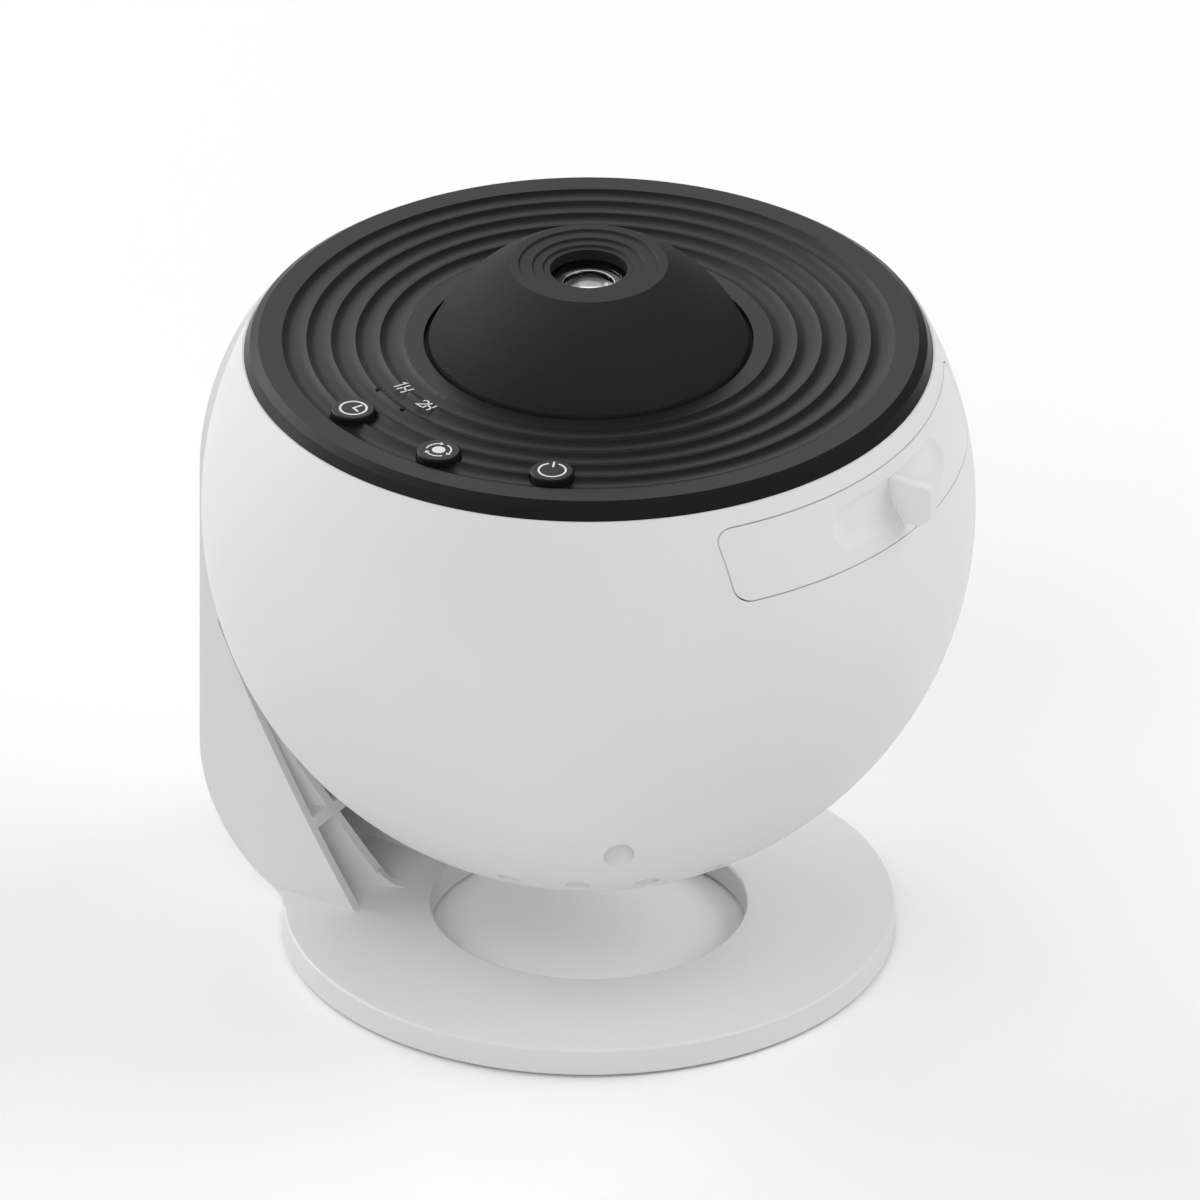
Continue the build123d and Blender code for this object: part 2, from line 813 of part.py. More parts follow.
with BuildPart() as top_plate:
    with BuildSketch(section_plane):
        with BuildLine():
            Line((dome_hole_radius, plate_level), (groove_inner_radius, plate_level))
            for groove in range(groove_count):
                start = (groove_inner_radius + groove * groove_pitch, plate_level)
                end = (start[0] + groove_pitch, plate_level)
                ThreePointArc(start, bow(start, end, -groove_depth), end)
            Polyline(
                (groove_outer_radius, plate_level),
                (plate_flat_radius, plate_level),
                (plate_chamfer_radius, plate_level - plate_chamfer_drop),
                (plate_radius, rim_level),
                (spigot_radius, rim_level),
                (spigot_radius, rim_level - spigot_height),
                (spigot_radius - spigot_wall, rim_level - spigot_height),
                (spigot_radius - spigot_wall, plate_underside),
                (dome_recess_radius, plate_underside),
                (dome_recess_radius, plate_level - plate_lip),
                (dome_hole_radius, plate_level - plate_lip),
                (dome_hole_radius, plate_level),
            )
        make_face()
    revolve(axis=Axis.Z)
    with BuildSketch(level(plate_underside + assembly_fit)):
        with Locations(well_places):
            Circle(plate_boss_radius)
    extrude(amount=-(plate_boss_length + assembly_fit))
    with BuildSketch(level(plate_underside + assembly_fit)):
        with Locations([polar(key_ring_radius, angle) for angle in board_boss_angles]):
            Circle(board_boss_radius)
    extrude(amount=-(plate_underside + assembly_fit - button_board_top))
    with BuildSketch(level(deck_level)):
        with Locations(well_places):
            Circle(case_screw_radius + assembly_fit)
    extrude(amount=case_screw_end - deck_level + running_gap, mode=Mode.SUBTRACT)
    with BuildSketch(level(button_board_top)):
        with Locations([polar(key_ring_radius, angle) for angle in board_boss_angles]):
            Circle(small_screw_radius + assembly_fit)
    extrude(amount=board_boss_radius + small_screw_radius, mode=Mode.SUBTRACT)
    with BuildSketch(level(plate_underside)):
        with PolarLocations(lens_screw_ring_radius, 3, start_angle=lens_screw_turns[0]):
            Circle(small_screw_radius + assembly_fit)
    extrude(amount=plate_thickness - groove_depth, mode=Mode.SUBTRACT)
    with BuildSketch(level(plate_underside - plate_thickness)):
        with Locations([polar(key_ring_radius, angle) for angle in key_angles.values()]):
            Circle(key_radius + key_hole_clearance)
        with Locations([polar(indicator_ring_radius, angle) for angle in indicator_angles]):
            Circle(indicator_radius)
    extrude(amount=3 * plate_thickness, mode=Mode.SUBTRACT)
save(top_plate, "top_plate")

# ================================================================ keys, switches and indicators
for key_name, key_angle in key_angles.items():
    with BuildPart() as key:
        with BuildSketch(level(switch_top - stem_reach)):
            with Locations(polar(key_ring_radius, key_angle)):
                Circle(key_stem_radius)
        extrude(amount=plate_underside - switch_top + stem_reach)
        with BuildSketch(level(plate_underside - running_gap)):
            with Locations(polar(key_ring_radius, key_angle)):
                Circle(key_radius + key_flange_width)
        extrude(amount=-key_flange)
        with BuildSketch(level(plate_underside - running_gap)):
            with Locations(polar(key_ring_radius, key_angle)):
                Circle(key_radius)
        extrude(amount=plate_thickness + running_gap + key_proud)
        fillet(key.faces().sort_by(Axis.Z)[-1].edges(), key_edge)
    save(key, key_name)

with BuildPart() as tact_switches:
    for key_angle in key_angles.values():
        with Locations(Location((*polar(key_ring_radius, key_angle), axis_height + button_board_top))):
            Box(
                switch_side,
                switch_side,
                switch_height,
                rotation=(0, 0, key_angle),
                align=rest_on_top,
            )
    with BuildSketch(level(switch_top)):
        with Locations([polar(key_ring_radius, angle) for angle in key_angles.values()]):
            Circle(key_stem_radius + switch_bore_clearance)
    extrude(amount=-(switch_height - switch_floor), mode=Mode.SUBTRACT)
save(tact_switches, "tact_switches")

board_middle_angle = -90.0
sector = [
    polar(clear_through, board_middle_angle - button_board_half_angle),
    polar(clear_through, board_middle_angle + button_board_half_angle),
]
with BuildPart() as button_board:
    with BuildSketch(level(button_board_level)):
        Circle(button_board_outer_radius)
        Circle(button_board_inner_radius, mode=Mode.SUBTRACT)
        with BuildLine():
            Polyline((0, 0), *sector, close=True)
        make_face(mode=Mode.INTERSECT)
        with Locations([polar(key_ring_radius, angle) for angle in board_boss_angles]):
            Circle(small_screw_radius + running_gap, mode=Mode.SUBTRACT)
    extrude(amount=board_thickness)
save(button_board, "button_board")

with BuildPart() as button_board_screws:
    for boss_angle in board_boss_angles:
        boss_place = (*polar(key_ring_radius, boss_angle), axis_height + button_board_level)
        with Locations(boss_place):
            screw_length = board_thickness + board_boss_radius
            add_screw(small_screw_radius, screw_length, small_head_radius, small_head_height)
save(button_board_screws, "button_board_screws")

with BuildPart() as indicator_leds:
    for indicator_angle in indicator_angles:
        led_place = (*polar(indicator_ring_radius, indicator_angle), axis_height + button_board_top)
        with Locations(led_place):
            Box(
                indicator_led_side,
                indicator_led_side,
                indicator_led_height,
                rotation=(0, 0, indicator_angle),
                align=rest_on_top,
            )
save(indicator_leds, "indicator_leds")

with BuildPart() as light_pipes:
    pipe_bottom = button_board_top + indicator_led_height
    with BuildSketch(level(pipe_bottom)):
        with Locations([polar(indicator_ring_radius, angle) for angle in indicator_angles]):
            Circle(indicator_radius - assembly_fit)
    extrude(amount=plate_level - pipe_bottom)
save(light_pipes, "light_pipes")

# ================================================================ chassis
guide_ledge_top = tray_floor_top - running_gap
guide_lip_bottom = tray_floor_top + tongue_height + running_gap

with BuildPart() as chassis:
    with BuildSketch(level(deck_underside)):
        Circle(deck_radius)
        Circle(light_hole_radius, mode=Mode.SUBTRACT)
    extrude(amount=deck_thickness)
    for side in (-1, 1):
        with Locations((0, side * guide_inner, axis_height + deck_level)):
            Box(
                2 * guide_half_length,
                guide_outer - guide_inner,
                guide_height,
                align=(Align.CENTER, Align.MIN if side > 0 else Align.MAX, Align.MIN),
            )
        with Locations((0, side * guide_inner, axis_height + guide_ledge_top)):
            Box(
                2 * guide_half_length,
                guide_groove - guide_inner,
                guide_lip_bottom - guide_ledge_top,
                align=(Align.CENTER, Align.MIN if side > 0 else Align.MAX, Align.MIN),
                mode=Mode.SUBTRACT,
            )
        with Locations((side * board_tab_x, main_board_y, axis_height + deck_underside)):
            Box(
                board_tab_width,
                board_tab_thickness,
                deck_underside - board_tab_bottom_level,
                align=(Align.CENTER, Align.MAX, Align.MAX),
            )
    with BuildSketch(level(deck_underside)):
        with Locations(well_places):
            Circle(post_radius)
    extrude(amount=-(deck_underside - well_top_level))
    with BuildSketch(level(well_top_level)):
        with Locations(well_places):
            Circle(case_screw_radius + running_gap)
    extrude(amount=deck_level - well_top_level, mode=Mode.SUBTRACT)
    with BuildSketch(level(deck_underside)):
        with Locations((motor_x, 0)):
            Circle(shaft_radius + running_gap)
            with GridLocations(0, motor_screw_distance, 1, 2):
                Circle(small_screw_radius + running_gap)
        with PolarLocations(housing_screw_ring_radius, 3, start_angle=housing_screw_turns[0]):
            Circle(small_screw_radius + assembly_fit)
        with Locations((button_lead_x, button_lead_y)):
            Circle(lead_radius + lead_clearance)
    extrude(amount=deck_thickness, mode=Mode.SUBTRACT)
    with BuildSketch(Plane.XZ.offset(-main_board_y)):
        with Locations([(side * board_tab_x, axis_height + board_screw_level) for side in (-1, 1)]):
            Circle(small_screw_radius + assembly_fit)
    extrude(amount=board_tab_thickness, mode=Mode.SUBTRACT)
save(chassis, "chassis")

with BuildPart() as case_screws:
    for well_place in well_places:
        with Locations((*well_place, axis_height + well_floor_level)):
            add_screw(
                case_screw_radius,
                case_screw_length,
                case_screw_head_radius,
                case_screw_head_height,
            )
save(case_screws, "case_screws")

# ================================================================ lens mount and focus dome
with BuildPart() as lens_mount:
    with BuildSketch(level(plate_underside)):
        Circle(lens_mount_radius)
        Circle(lens_sleeve_inner_radius, mode=Mode.SUBTRACT)
    extrude(amount=-lens_mount_flange)
    with BuildSketch(level(plate_underside)):
        Circle(sleeve_outer_radius)
        Circle(lens_sleeve_inner_radius, mode=Mode.SUBTRACT)
    extrude(amount=lens_sleeve_top_level - plate_underside)
    with Locations((0, 0, axis_height + cam_pin_level)):
        Box(
            2 * cam_tube_radius,
            2 * (cam_pin_radius + running_gap),
            2 * (focus_travel + cam_pin_radius + running_gap),
            mode=Mode.SUBTRACT,
        )
    with BuildSketch(level(plate_underside - lens_mount_flange)):
        with PolarLocations(lens_screw_ring_radius, 3, start_angle=lens_screw_turns[0]):
            Circle(small_screw_radius + running_gap)
    extrude(amount=lens_mount_flange, mode=Mode.SUBTRACT)
save(lens_mount, "lens_mount")

with BuildPart() as lens_mount_screws:
    mount_screw_level = plate_underside - lens_mount_flange
    for turn in lens_screw_turns:
        screw_place = (*polar(lens_screw_ring_radius, turn), axis_height + mount_screw_level)
        with Locations(screw_place):
            screw_length = lens_mount_flange + plate_thickness - groove_depth - running_gap
            add_screw(small_screw_radius, screw_length, small_head_radius, small_head_height)
save(lens_mount_screws, "lens_mount_screws")

# Each cam slot climbs once through the pins' height, as the dome turns through its range.
slot_turn = focus_half_angle + math.degrees((cam_pin_radius + 2 * running_gap) / cam_tube_inner_radius)
slot_height = cam_lead * 2 * slot_turn / 360
cam_middle_radius = (cam_tube_inner_radius + cam_tube_radius) / 2
slot_half_width = cam_pin_radius / math.cos(
    math.atan2(cam_lead, 2 * math.pi * cam_tube_inner_radius)
)

with BuildPart() as cam_slot:
    slot_start = (0, 0, axis_height + cam_pin_level - slot_height / 2)
    with BuildLine() as cam_path:
        Helix(cam_lead, slot_height, cam_middle_radius, center=slot_start)
    with BuildSketch(
        Plane(origin=cam_path.line @ 0, x_dir=(1, 0, 0), z_dir=cam_path.line % 0)
    ):
        Rectangle(2 * cam_tube_wall, 2 * (slot_half_width + 2 * running_gap))
    sweep(path=cam_path.line, is_frenet=True)

shoulder = (dome_radius, dome_shoulder_level)
nose_edge = (nose_radius, nose_level)
nose_floor = nose_level - len(nose_step_radii) * nose_step_drop
nose_underside = nose_floor - nose_skin
inner_shoulder = (dome_radius - dome_wall, dome_shoulder_level)
inner_nose = (nose_radius + nose_level - nose_underside - dome_wall, nose_underside)

with BuildPart() as focus_dome:
    with BuildSketch(section_plane):
        with BuildLine():
            Polyline(
                (dome_radius - dome_wall, dome_flange_bottom),
                (dome_flange_radius, dome_flange_bottom),
                (dome_flange_radius, dome_flange_top),
                (dome_radius, dome_flange_top),
                shoulder,
            )
            ThreePointArc(shoulder, bow(shoulder, nose_edge, -dome_bulge), nose_edge)
            last = nose_edge
            for step, step_radius in enumerate(nose_step_radii):
                lip = (step_radius, nose_level - step * nose_step_drop)
                foot = (step_radius - nose_riser, lip[1] - nose_step_drop)
                Polyline(last, lip, foot)
                last = foot
            Polyline(
                last,
                (throat_radius, nose_floor),
                (throat_radius, nose_underside),
                (cam_tube_inner_radius, nose_underside),
                (cam_tube_inner_radius, cam_tube_bottom_level),
                (cam_tube_radius, cam_tube_bottom_level),
                (cam_tube_radius, nose_underside),
                inner_nose,
            )
            ThreePointArc(
                inner_nose,
                bow(inner_nose, inner_shoulder, dome_bulge * (1 - dome_wall / nose_radius)),
                inner_shoulder,
            )
            Line(inner_shoulder, (dome_radius - dome_wall, dome_flange_bottom))
        make_face()
    revolve(axis=Axis.Z)
    for pin_angle in (0, 180):
        with Locations(Location((0, 0, 0), (0, 0, pin_angle - slot_turn))):
            add(cam_slot.part, mode=Mode.SUBTRACT)
save(focus_dome, "focus_dome")

# ================================================================ lens group
with BuildPart() as lens_barrel:
    with BuildSketch(section_plane):
        with BuildLine():
            Polyline(
                (rear_ledge_radius, barrel_bottom_level),
                (barrel_radius, barrel_bottom_level),
                (barrel_radius, barrel_shoulder_level),
                (barrel_neck_radius, barrel_shoulder_level),
                (barrel_neck_radius, barrel_top_level),
                (retainer_radius + assembly_fit, barrel_top_level),
                (retainer_radius + assembly_fit, retainer_top_level - retainer_height),
                (lens_bore_radius, retainer_top_level - retainer_height),
                (lens_bore_radius, rear_ledge_level),
                (rear_ledge_radius, rear_ledge_level),
                close=True,
            )
        make_face()
    revolve(axis=Axis.Z)
    with BuildSketch(Plane.YZ.offset(-clear_through)):
        with Locations((0, axis_height + cam_pin_level)):
            Circle(cam_pin_radius + assembly_fit)
    extrude(amount=2 * clear_through, mode=Mode.SUBTRACT)
save(lens_barrel, "lens_barrel")

with BuildPart() as cam_pins:
    pin_root = lens_bore_radius + assembly_fit
    for side in (-1, 1):
        with BuildSketch(Plane.YZ.offset(side * pin_root)):
            with Locations((0, axis_height + cam_pin_level)):
                Circle(cam_pin_radius)
        extrude(amount=side * (cam_pin_reach - pin_root))
save(cam_pins, "cam_pins")


def lens_half(radius, clear_radius, seat, edge, sag):
    """Half section of a plano-convex lens, its flat face at the seat level, bulging with sag."""
    crown = seat + edge + math.copysign(sag, edge)
    swell = (clear_radius**2 + sag**2) / (2 * sag)
    half = math.asin(clear_radius / swell) / 2
    drop = math.copysign(swell * (1 - math.cos(half)), edge)
    with BuildSketch(section_plane) as section:
        with BuildLine():
            Polyline((0, crown), (0, seat), (radius, seat), (radius, seat + edge))
            Line((radius, seat + edge), (clear_radius, seat + edge))
            ThreePointArc(
                (clear_radius, seat + edge), (swell * math.sin(half), crown - drop), (0, crown)
            )
        make_face()
    return section.sketch


lens_sizes = {
    "front_lens": (front_lens_seat_level, front_lens_edge, front_lens_sag),
    "rear_lens": (rear_lens_seat_level, -rear_lens_edge, rear_lens_sag),
}
for lens_name, sizes in lens_sizes.items():
    with BuildPart() as lens:
        revolve(lens_half(lens_radius, lens_clear_radius, *sizes), axis=Axis.Z)
    save(lens, lens_name)


def tube(outer, inner, bottom, height):
    """Plain ring or tube about the optical axis."""
    with Locations((0, 0, axis_height + bottom)):
        Cylinder(outer, height, align=rest_on_top)
        Cylinder(inner, height, align=rest_on_top, mode=Mode.SUBTRACT)


with BuildPart() as lens_spacer:
    spacer_length = front_lens_seat_level - rear_lens_seat_level
    tube(lens_radius, lens_radius - spacer_wall, rear_lens_seat_level, spacer_length)
save(lens_spacer, "lens_spacer")

with BuildPart() as lens_retainer:
    retainer_bottom = retainer_top_level - retainer_height
    with BuildSketch(section_plane):
        with BuildLine():
            Polyline(
                (retainer_radius, retainer_bottom),
                (retainer_radius, retainer_top_level),
                (retainer_inner_radius, retainer_top_level - retainer_dish),
                (retainer_inner_radius, retainer_bottom + 2 * retainer_dish),
                (lens_radius, retainer_bottom),
                close=True,
            )
        make_face()
    revolve(axis=Axis.Z)
save(lens_retainer, "lens_retainer")

# ================================================================ film drawer
tray_trim_radius = drawer_inner_radius - assembly_fit
tray_length = tray_rear + tray_front

with BuildPart() as drawer_tray:
    with Locations(((tray_front - tray_rear) / 2, 0, axis_height + tray_floor_level)):
        Box(tray_length, 2 * tray_half_width, tray_rail_height, align=rest_on_top)
        Box(
            tray_length,
            2 * tray_inner_half_width,
            tray_rail_height,
            align=rest_on_top,
            mode=Mode.SUBTRACT,
        )
    with Locations(((tongue_front - tray_rear) / 2, 0, axis_height + tray_floor_top)):
        Box(tongue_front + tray_rear, 2 * tongue_half_width, tongue_height, align=rest_on_top)
        Box(
            tongue_front + tray_rear,
            2 * tray_inner_half_width,
            tongue_height,
            align=rest_on_top,
            mode=Mode.SUBTRACT,
        )
    with Locations((tray_floor_rear, 0, axis_height + tray_floor_level)):
        Box(
            tray_front - tray_floor_rear,
            2 * tray_half_width,
            tray_floor,
            align=(Align.MIN, Align.CENTER, Align.MIN),
        )
    with Locations((tray_front, 0, axis_height + tray_floor_level)):
        Box(
            tray_front_wall,
            2 * tray_half_width,
            tray_rail_height,
            align=(Align.MAX, Align.CENTER, Align.MIN),
        )
    for side in (-1, 1):
        hook_reach = tray_half_width - gear_tip_radius + hook_overlap
        with Locations((0, side * tray_half_width, axis_height + gear_top_level + loose_gap)):
            Box(
                hook_width,
                hook_reach,
                hook_thickness,
                align=(Align.CENTER, Align.MAX if side > 0 else Align.MIN, Align.MIN),
            )
    with BuildSketch(level(tray_floor_level)):
        Circle(gear_spigot_radius + running_fit)
    extrude(amount=tray_floor, mode=Mode.SUBTRACT)
    with BuildSketch(Plane.YZ.offset(tray_front - tray_front_wall)):
        with Locations([(side * drawer_boss_y, axis_height + drawer_level) for side in (-1, 1)]):
            Circle(small_screw_radius + running_gap)
    extrude(amount=tray_front_wall, mode=Mode.SUBTRACT)
    with Locations(ball_centre):
        Sphere(tray_trim_radius, rotation=seam_turn, mode=Mode.INTERSECT)
save(drawer_tray, "drawer_tray")

# The finger scoop is a shallow round-bottomed channel that follows the ball, with dished ends.
channel_radius = (scoop_height**2 / 4 + scoop_depth**2) / (2 * scoop_depth)
scoop_turn = math.asin(scoop_level / ball_radius)
channel_centre_radius = ball_radius - scoop_depth + channel_radius
channel_centre_reach = channel_centre_radius * math.cos(scoop_turn)
channel_centre_level = channel_centre_radius * math.sin(scoop_turn)
scoop_end_turn = math.asin(
    (scoop_half_width - scoop_height / 2) / (ball_radius * math.cos(scoop_turn))
)
scoop_start_plane = Plane(
    ball_centre,
    x_dir=(math.cos(scoop_end_turn), -math.sin(scoop_end_turn), 0),
    z_dir=(-math.sin(scoop_end_turn), -math.cos(scoop_end_turn), 0),
)

with BuildPart() as scoop:
    with BuildSketch(scoop_start_plane):
        with Locations((channel_centre_reach, channel_centre_level)):
            Circle(channel_radius)
    revolve(axis=Axis.Z, revolution_arc=2 * math.degrees(scoop_end_turn))
    for side in (-1, 1):
        scoop_end = polar(channel_centre_reach, side * math.degrees(scoop_end_turn))
        with Locations((*scoop_end, axis_height + channel_centre_level)):
            Sphere(channel_radius, rotation=seam_turn)

with BuildPart() as drawer_bosses:
    with BuildSketch(Plane.YZ.offset(tray_front)):
        with Locations([(side * drawer_boss_y, axis_height + drawer_level) for side in (-1, 1)]):
            Circle(drawer_boss_radius)
    extrude(amount=ball_radius - tray_front)
    with Locations(ball_centre):
        Sphere(drawer_inner_radius + drawer_boss_root, rotation=seam_turn, mode=Mode.INTERSECT)

with BuildPart() as drawer_front:
    with Locations(ball_centre):
        Sphere(ball_radius, rotation=seam_turn)
        Sphere(drawer_inner_radius, rotation=seam_turn, mode=Mode.SUBTRACT)
    with BuildSketch(Plane.YZ):
        with Locations((0, axis_height + drawer_level)):
            RectangleRounded(drawer_width, drawer_height, drawer_corner)
    extrude(amount=clear_through, mode=Mode.INTERSECT)
    add(scoop.part, mode=Mode.SUBTRACT)
    add(drawer_bosses.part)
    with BuildSketch(Plane.YZ.offset(tray_front)):
        with Locations([(side * drawer_boss_y, axis_height + drawer_level) for side in (-1, 1)]):
            Circle(small_screw_radius + assembly_fit)
    extrude(amount=2 * drawer_boss_radius, mode=Mode.SUBTRACT)
    with BuildSketch(section_plane):
        with BuildLine():
            Polyline(
                (fin_root, fin_bottom_level - fin_corner),
                (fin_root, fin_top_level),
                (fin_tip, fin_top_level),
                (fin_tip, fin_bottom_level + fin_heel),
                (fin_tip - fin_heel, fin_bottom_level),
                (fin_tip - 2 * fin_heel, fin_bottom_level),
                close=True,
            )
        fin_face = make_face()
        fillet(fin_face.vertices().group_by(Axis.X)[-1], fin_corner)
    extrude(amount=fin_thickness / 2, both=True)
save(drawer_front, "drawer_front")

with BuildPart() as drawer_screws:
    for side in (-1, 1):
        screw_seat = (tray_front - tray_front_wall, side * drawer_boss_y, axis_height + drawer_level)
        with Locations(Location(screw_seat, (0, 90, 0))):
            screw_length = tray_front_wall + drawer_boss_radius
            add_screw(small_screw_radius, screw_length, small_head_radius, small_head_height)
save(drawer_screws, "drawer_screws")

# ================================================================ film disc and its drive
with BuildPart() as disc_gear:
    with BuildSketch(level(gear_bottom_level)):
        with BuildLine():
            Polyline(*gear_outline(gear_teeth, 0, 0), close=True)
        make_face()
    extrude(amount=gear_height)
    with BuildSketch(level(gear_bottom_level)):
        Circle(gear_spigot_radius)
    extrude(amount=-gear_spigot_height)
    with BuildSketch(level(gear_bottom_level - gear_spigot_height)):
        Circle(gear_aperture_radius)
    extrude(amount=gear_spigot_height + gear_height, mode=Mode.SUBTRACT)
    with BuildSketch(level(gear_top_level)):
        Circle(disc_radius + disc_seat_clearance)
    extrude(amount=-disc_seat_depth, mode=Mode.SUBTRACT)
save(disc_gear, "disc_gear")

with BuildPart() as disc_frame:
    tube(disc_radius, disc_window_radius, disc_seat_level + assembly_fit, disc_thickness)
    with BuildSketch(level(disc_seat_level + assembly_fit + film_ledge)):
        Circle(film_radius + assembly_fit)
    extrude(amount=disc_thickness, mode=Mode.SUBTRACT)
    chamfer(disc_frame.faces().sort_by(Axis.Z)[-1].edges(), film_ring_thickness / 2)
save(disc_frame, "disc_frame")

with BuildPart() as star_film:
    film_level = disc_seat_level + assembly_fit + film_ledge
    with BuildSketch(level(film_level)):
        Circle(film_radius)
    extrude(amount=film_thickness)
save(star_film, "star_film")

with BuildPart() as film_ring:
    tube(film_radius, film_radius - film_ring_width, film_level + film_thickness, film_ring_thickness)
save(film_ring, "film_ring")

with BuildPart() as drive_pinion:
    with BuildSketch(level(gear_bottom_level - running_gap)):
        with BuildLine():
            Polyline(*gear_outline(pinion_teeth, 180 / pinion_teeth, motor_x), close=True)
        make_face()
    extrude(amount=gear_height + 2 * running_gap)
    with BuildSketch(level(gear_bottom_level - running_gap)):
        with Locations((motor_x, 0)):
            Circle(pinion_hub_radius)
    extrude(amount=-pinion_hub_height)
    with BuildSketch(level(gear_bottom_level - pinion_hub_height - running_gap)):
        with Locations((motor_x, 0)):
            Circle(shaft_radius + assembly_fit)
    extrude(amount=gear_height + pinion_hub_height + 2 * running_gap, mode=Mode.SUBTRACT)
save(drive_pinion, "drive_pinion")

with BuildPart() as motor_shaft:
    shaft_bottom = deck_underside - shaft_engagement
    shaft_length = gear_top_level + running_gap - shaft_bottom
    with BuildSketch(level(shaft_bottom)):
        with Locations((motor_x, 0)):
            Circle(shaft_radius)
    extrude(amount=shaft_length)
    with Locations((motor_x - shaft_radius, 0, axis_height + gear_top_level + running_gap)):
        Box(
            2 * shaft_flat,
            2 * shaft_radius,
            gear_height,
            align=(Align.CENTER, Align.CENTER, Align.MAX),
            mode=Mode.SUBTRACT,
        )
save(motor_shaft, "motor_shaft")

with BuildPart() as gear_motor:
    with Locations((motor_x, 0, axis_height + deck_underside)):
        Box(gearbox_width, gearbox_length, gearbox_height, align=hang_below)
    with BuildSketch(level(deck_underside - gearbox_height)):
        with Locations((motor_x, 0)):
            Circle(gearbox_length / 2)
            Rectangle(gearbox_width, gearbox_length, mode=Mode.INTERSECT)
    extrude(amount=-motor_can_height)
    with BuildSketch(level(deck_underside - gearbox_height - motor_can_height)):
        with Locations((motor_x, 0)):
            Circle(gearbox_width / 2 - motor_cap_inset)
    extrude(amount=-motor_cap_height)
    with BuildSketch(level(deck_underside)):
        with Locations((motor_x, 0)):
            Circle(shaft_radius + running_fit)
    extrude(amount=-(shaft_engagement + running_gap), mode=Mode.SUBTRACT)
    with BuildSketch(level(deck_underside)):
        with Locations((motor_x, 0)):
            with GridLocations(0, motor_screw_distance, 1, 2):
                Circle(small_screw_radius + assembly_fit)
    extrude(amount=-(2 * small_head_radius), mode=Mode.SUBTRACT)
save(gear_motor, "gear_motor")

with BuildPart() as motor_screws:
    for side in (-1, 1):
        screw_seat = (motor_x, side * motor_screw_distance / 2, axis_height + deck_level)
        with Locations(Location(screw_seat, (180, 0, 0))):
            screw_length = deck_thickness + small_head_radius
            add_screw(small_screw_radius, screw_length, small_head_radius, small_head_height)
save(motor_screws, "motor_screws")

# ================================================================ light engine
condenser_spacer_length = condenser_upper_level - condenser_lower_level - 2 * condenser_edge
condenser_ring_level = condenser_upper_level
housing_outer_radius = housing_inner_radius + housing_wall
led_lead_level = housing_bottom_level + board_thickness + assembly_fit + lead_radius

with BuildPart() as lamp_housing:
    with BuildSketch(level(housing_bottom_level)):
        RectangleRounded(housing_base_side, housing_base_side, housing_corner)
    extrude(amount=housing_base)
    tube(
        housing_outer_radius,
        light_tube_radius,
        housing_bottom_level,
        deck_underside - housing_bottom_level,
    )
    with BuildSketch(level(deck_underside)):
        Circle(housing_flange_radius)
    extrude(amount=-housing_flange)
    with BuildSketch(level(housing_bottom_level)):
        Circle(light_tube_radius)
        with GridLocations(2 * sink_screw_offset, 2 * sink_screw_offset, 2, 2):
            Circle(small_screw_radius + running_gap)
    extrude(amount=deck_underside - housing_bottom_level, mode=Mode.SUBTRACT)
    with BuildSketch(level(condenser_lower_level)):
        Circle(housing_inner_radius)
    extrude(amount=deck_underside - condenser_lower_level, mode=Mode.SUBTRACT)
    with BuildSketch(level(deck_underside)):
        with PolarLocations(housing_screw_ring_radius, 3, start_angle=housing_screw_turns[0]):
            Circle(small_screw_radius + running_gap)
    extrude(amount=-housing_flange, mode=Mode.SUBTRACT)
    with BuildSketch(Plane.XZ):
        with Locations((0, axis_height + led_lead_level)):
            Circle(lead_radius + lead_clearance)
    extrude(amount=-housing_base_side, mode=Mode.SUBTRACT)
save(lamp_housing, "lamp_housing")

with BuildPart() as lamp_screws:
    for turn in housing_screw_turns:
        screw_place = (
            *polar(housing_screw_ring_radius, turn),
            axis_height + deck_underside - housing_flange,
        )
        with Locations(screw_place):
            screw_length = housing_flange + deck_thickness - running_gap
            add_screw(small_screw_radius, screw_length, small_head_radius, small_head_height)
save(lamp_screws, "lamp_screws")

condenser_sizes = {
    "condenser_lower": (condenser_lower_level, condenser_edge, condenser_sag),
    "condenser_upper": (condenser_upper_level, -condenser_edge, condenser_sag),
}
for condenser_name, sizes in condenser_sizes.items():
    with BuildPart() as condenser:
        revolve(lens_half(condenser_radius, light_tube_radius, *sizes), axis=Axis.Z)
    save(condenser, condenser_name)

with BuildPart() as condenser_spacer:
    tube(
        condenser_radius,
        light_tube_radius,
        condenser_lower_level + condenser_edge,
        condenser_spacer_length,
    )
save(condenser_spacer, "condenser_spacer")

with BuildPart() as condenser_ring:
    tube(
        condenser_radius,
        condenser_radius - condenser_ring_width,
        condenser_ring_level,
        condenser_ring_thickness,
    )
save(condenser_ring, "condenser_ring")

with BuildPart() as heat_sink:
    with Locations((0, 0, axis_height + housing_bottom_level)):
        Box(sink_side, sink_side, sink_plate, align=hang_below)
    fin_pitch = (sink_side - sink_fin_thickness) / (sink_fin_count - 1)
    with BuildSketch(level(housing_bottom_level - sink_plate)):
        with GridLocations(fin_pitch, 0, sink_fin_count, 1):
            Rectangle(sink_fin_thickness, sink_side)
    extrude(amount=-sink_fin_height)
    with BuildSketch(level(housing_bottom_level)):
        with GridLocations(2 * sink_screw_offset, 2 * sink_screw_offset, 2, 2):
            Circle(small_screw_radius + assembly_fit)
    extrude(amount=-(sink_plate - small_screw_radius), mode=Mode.SUBTRACT)
save(heat_sink, "heat_sink")

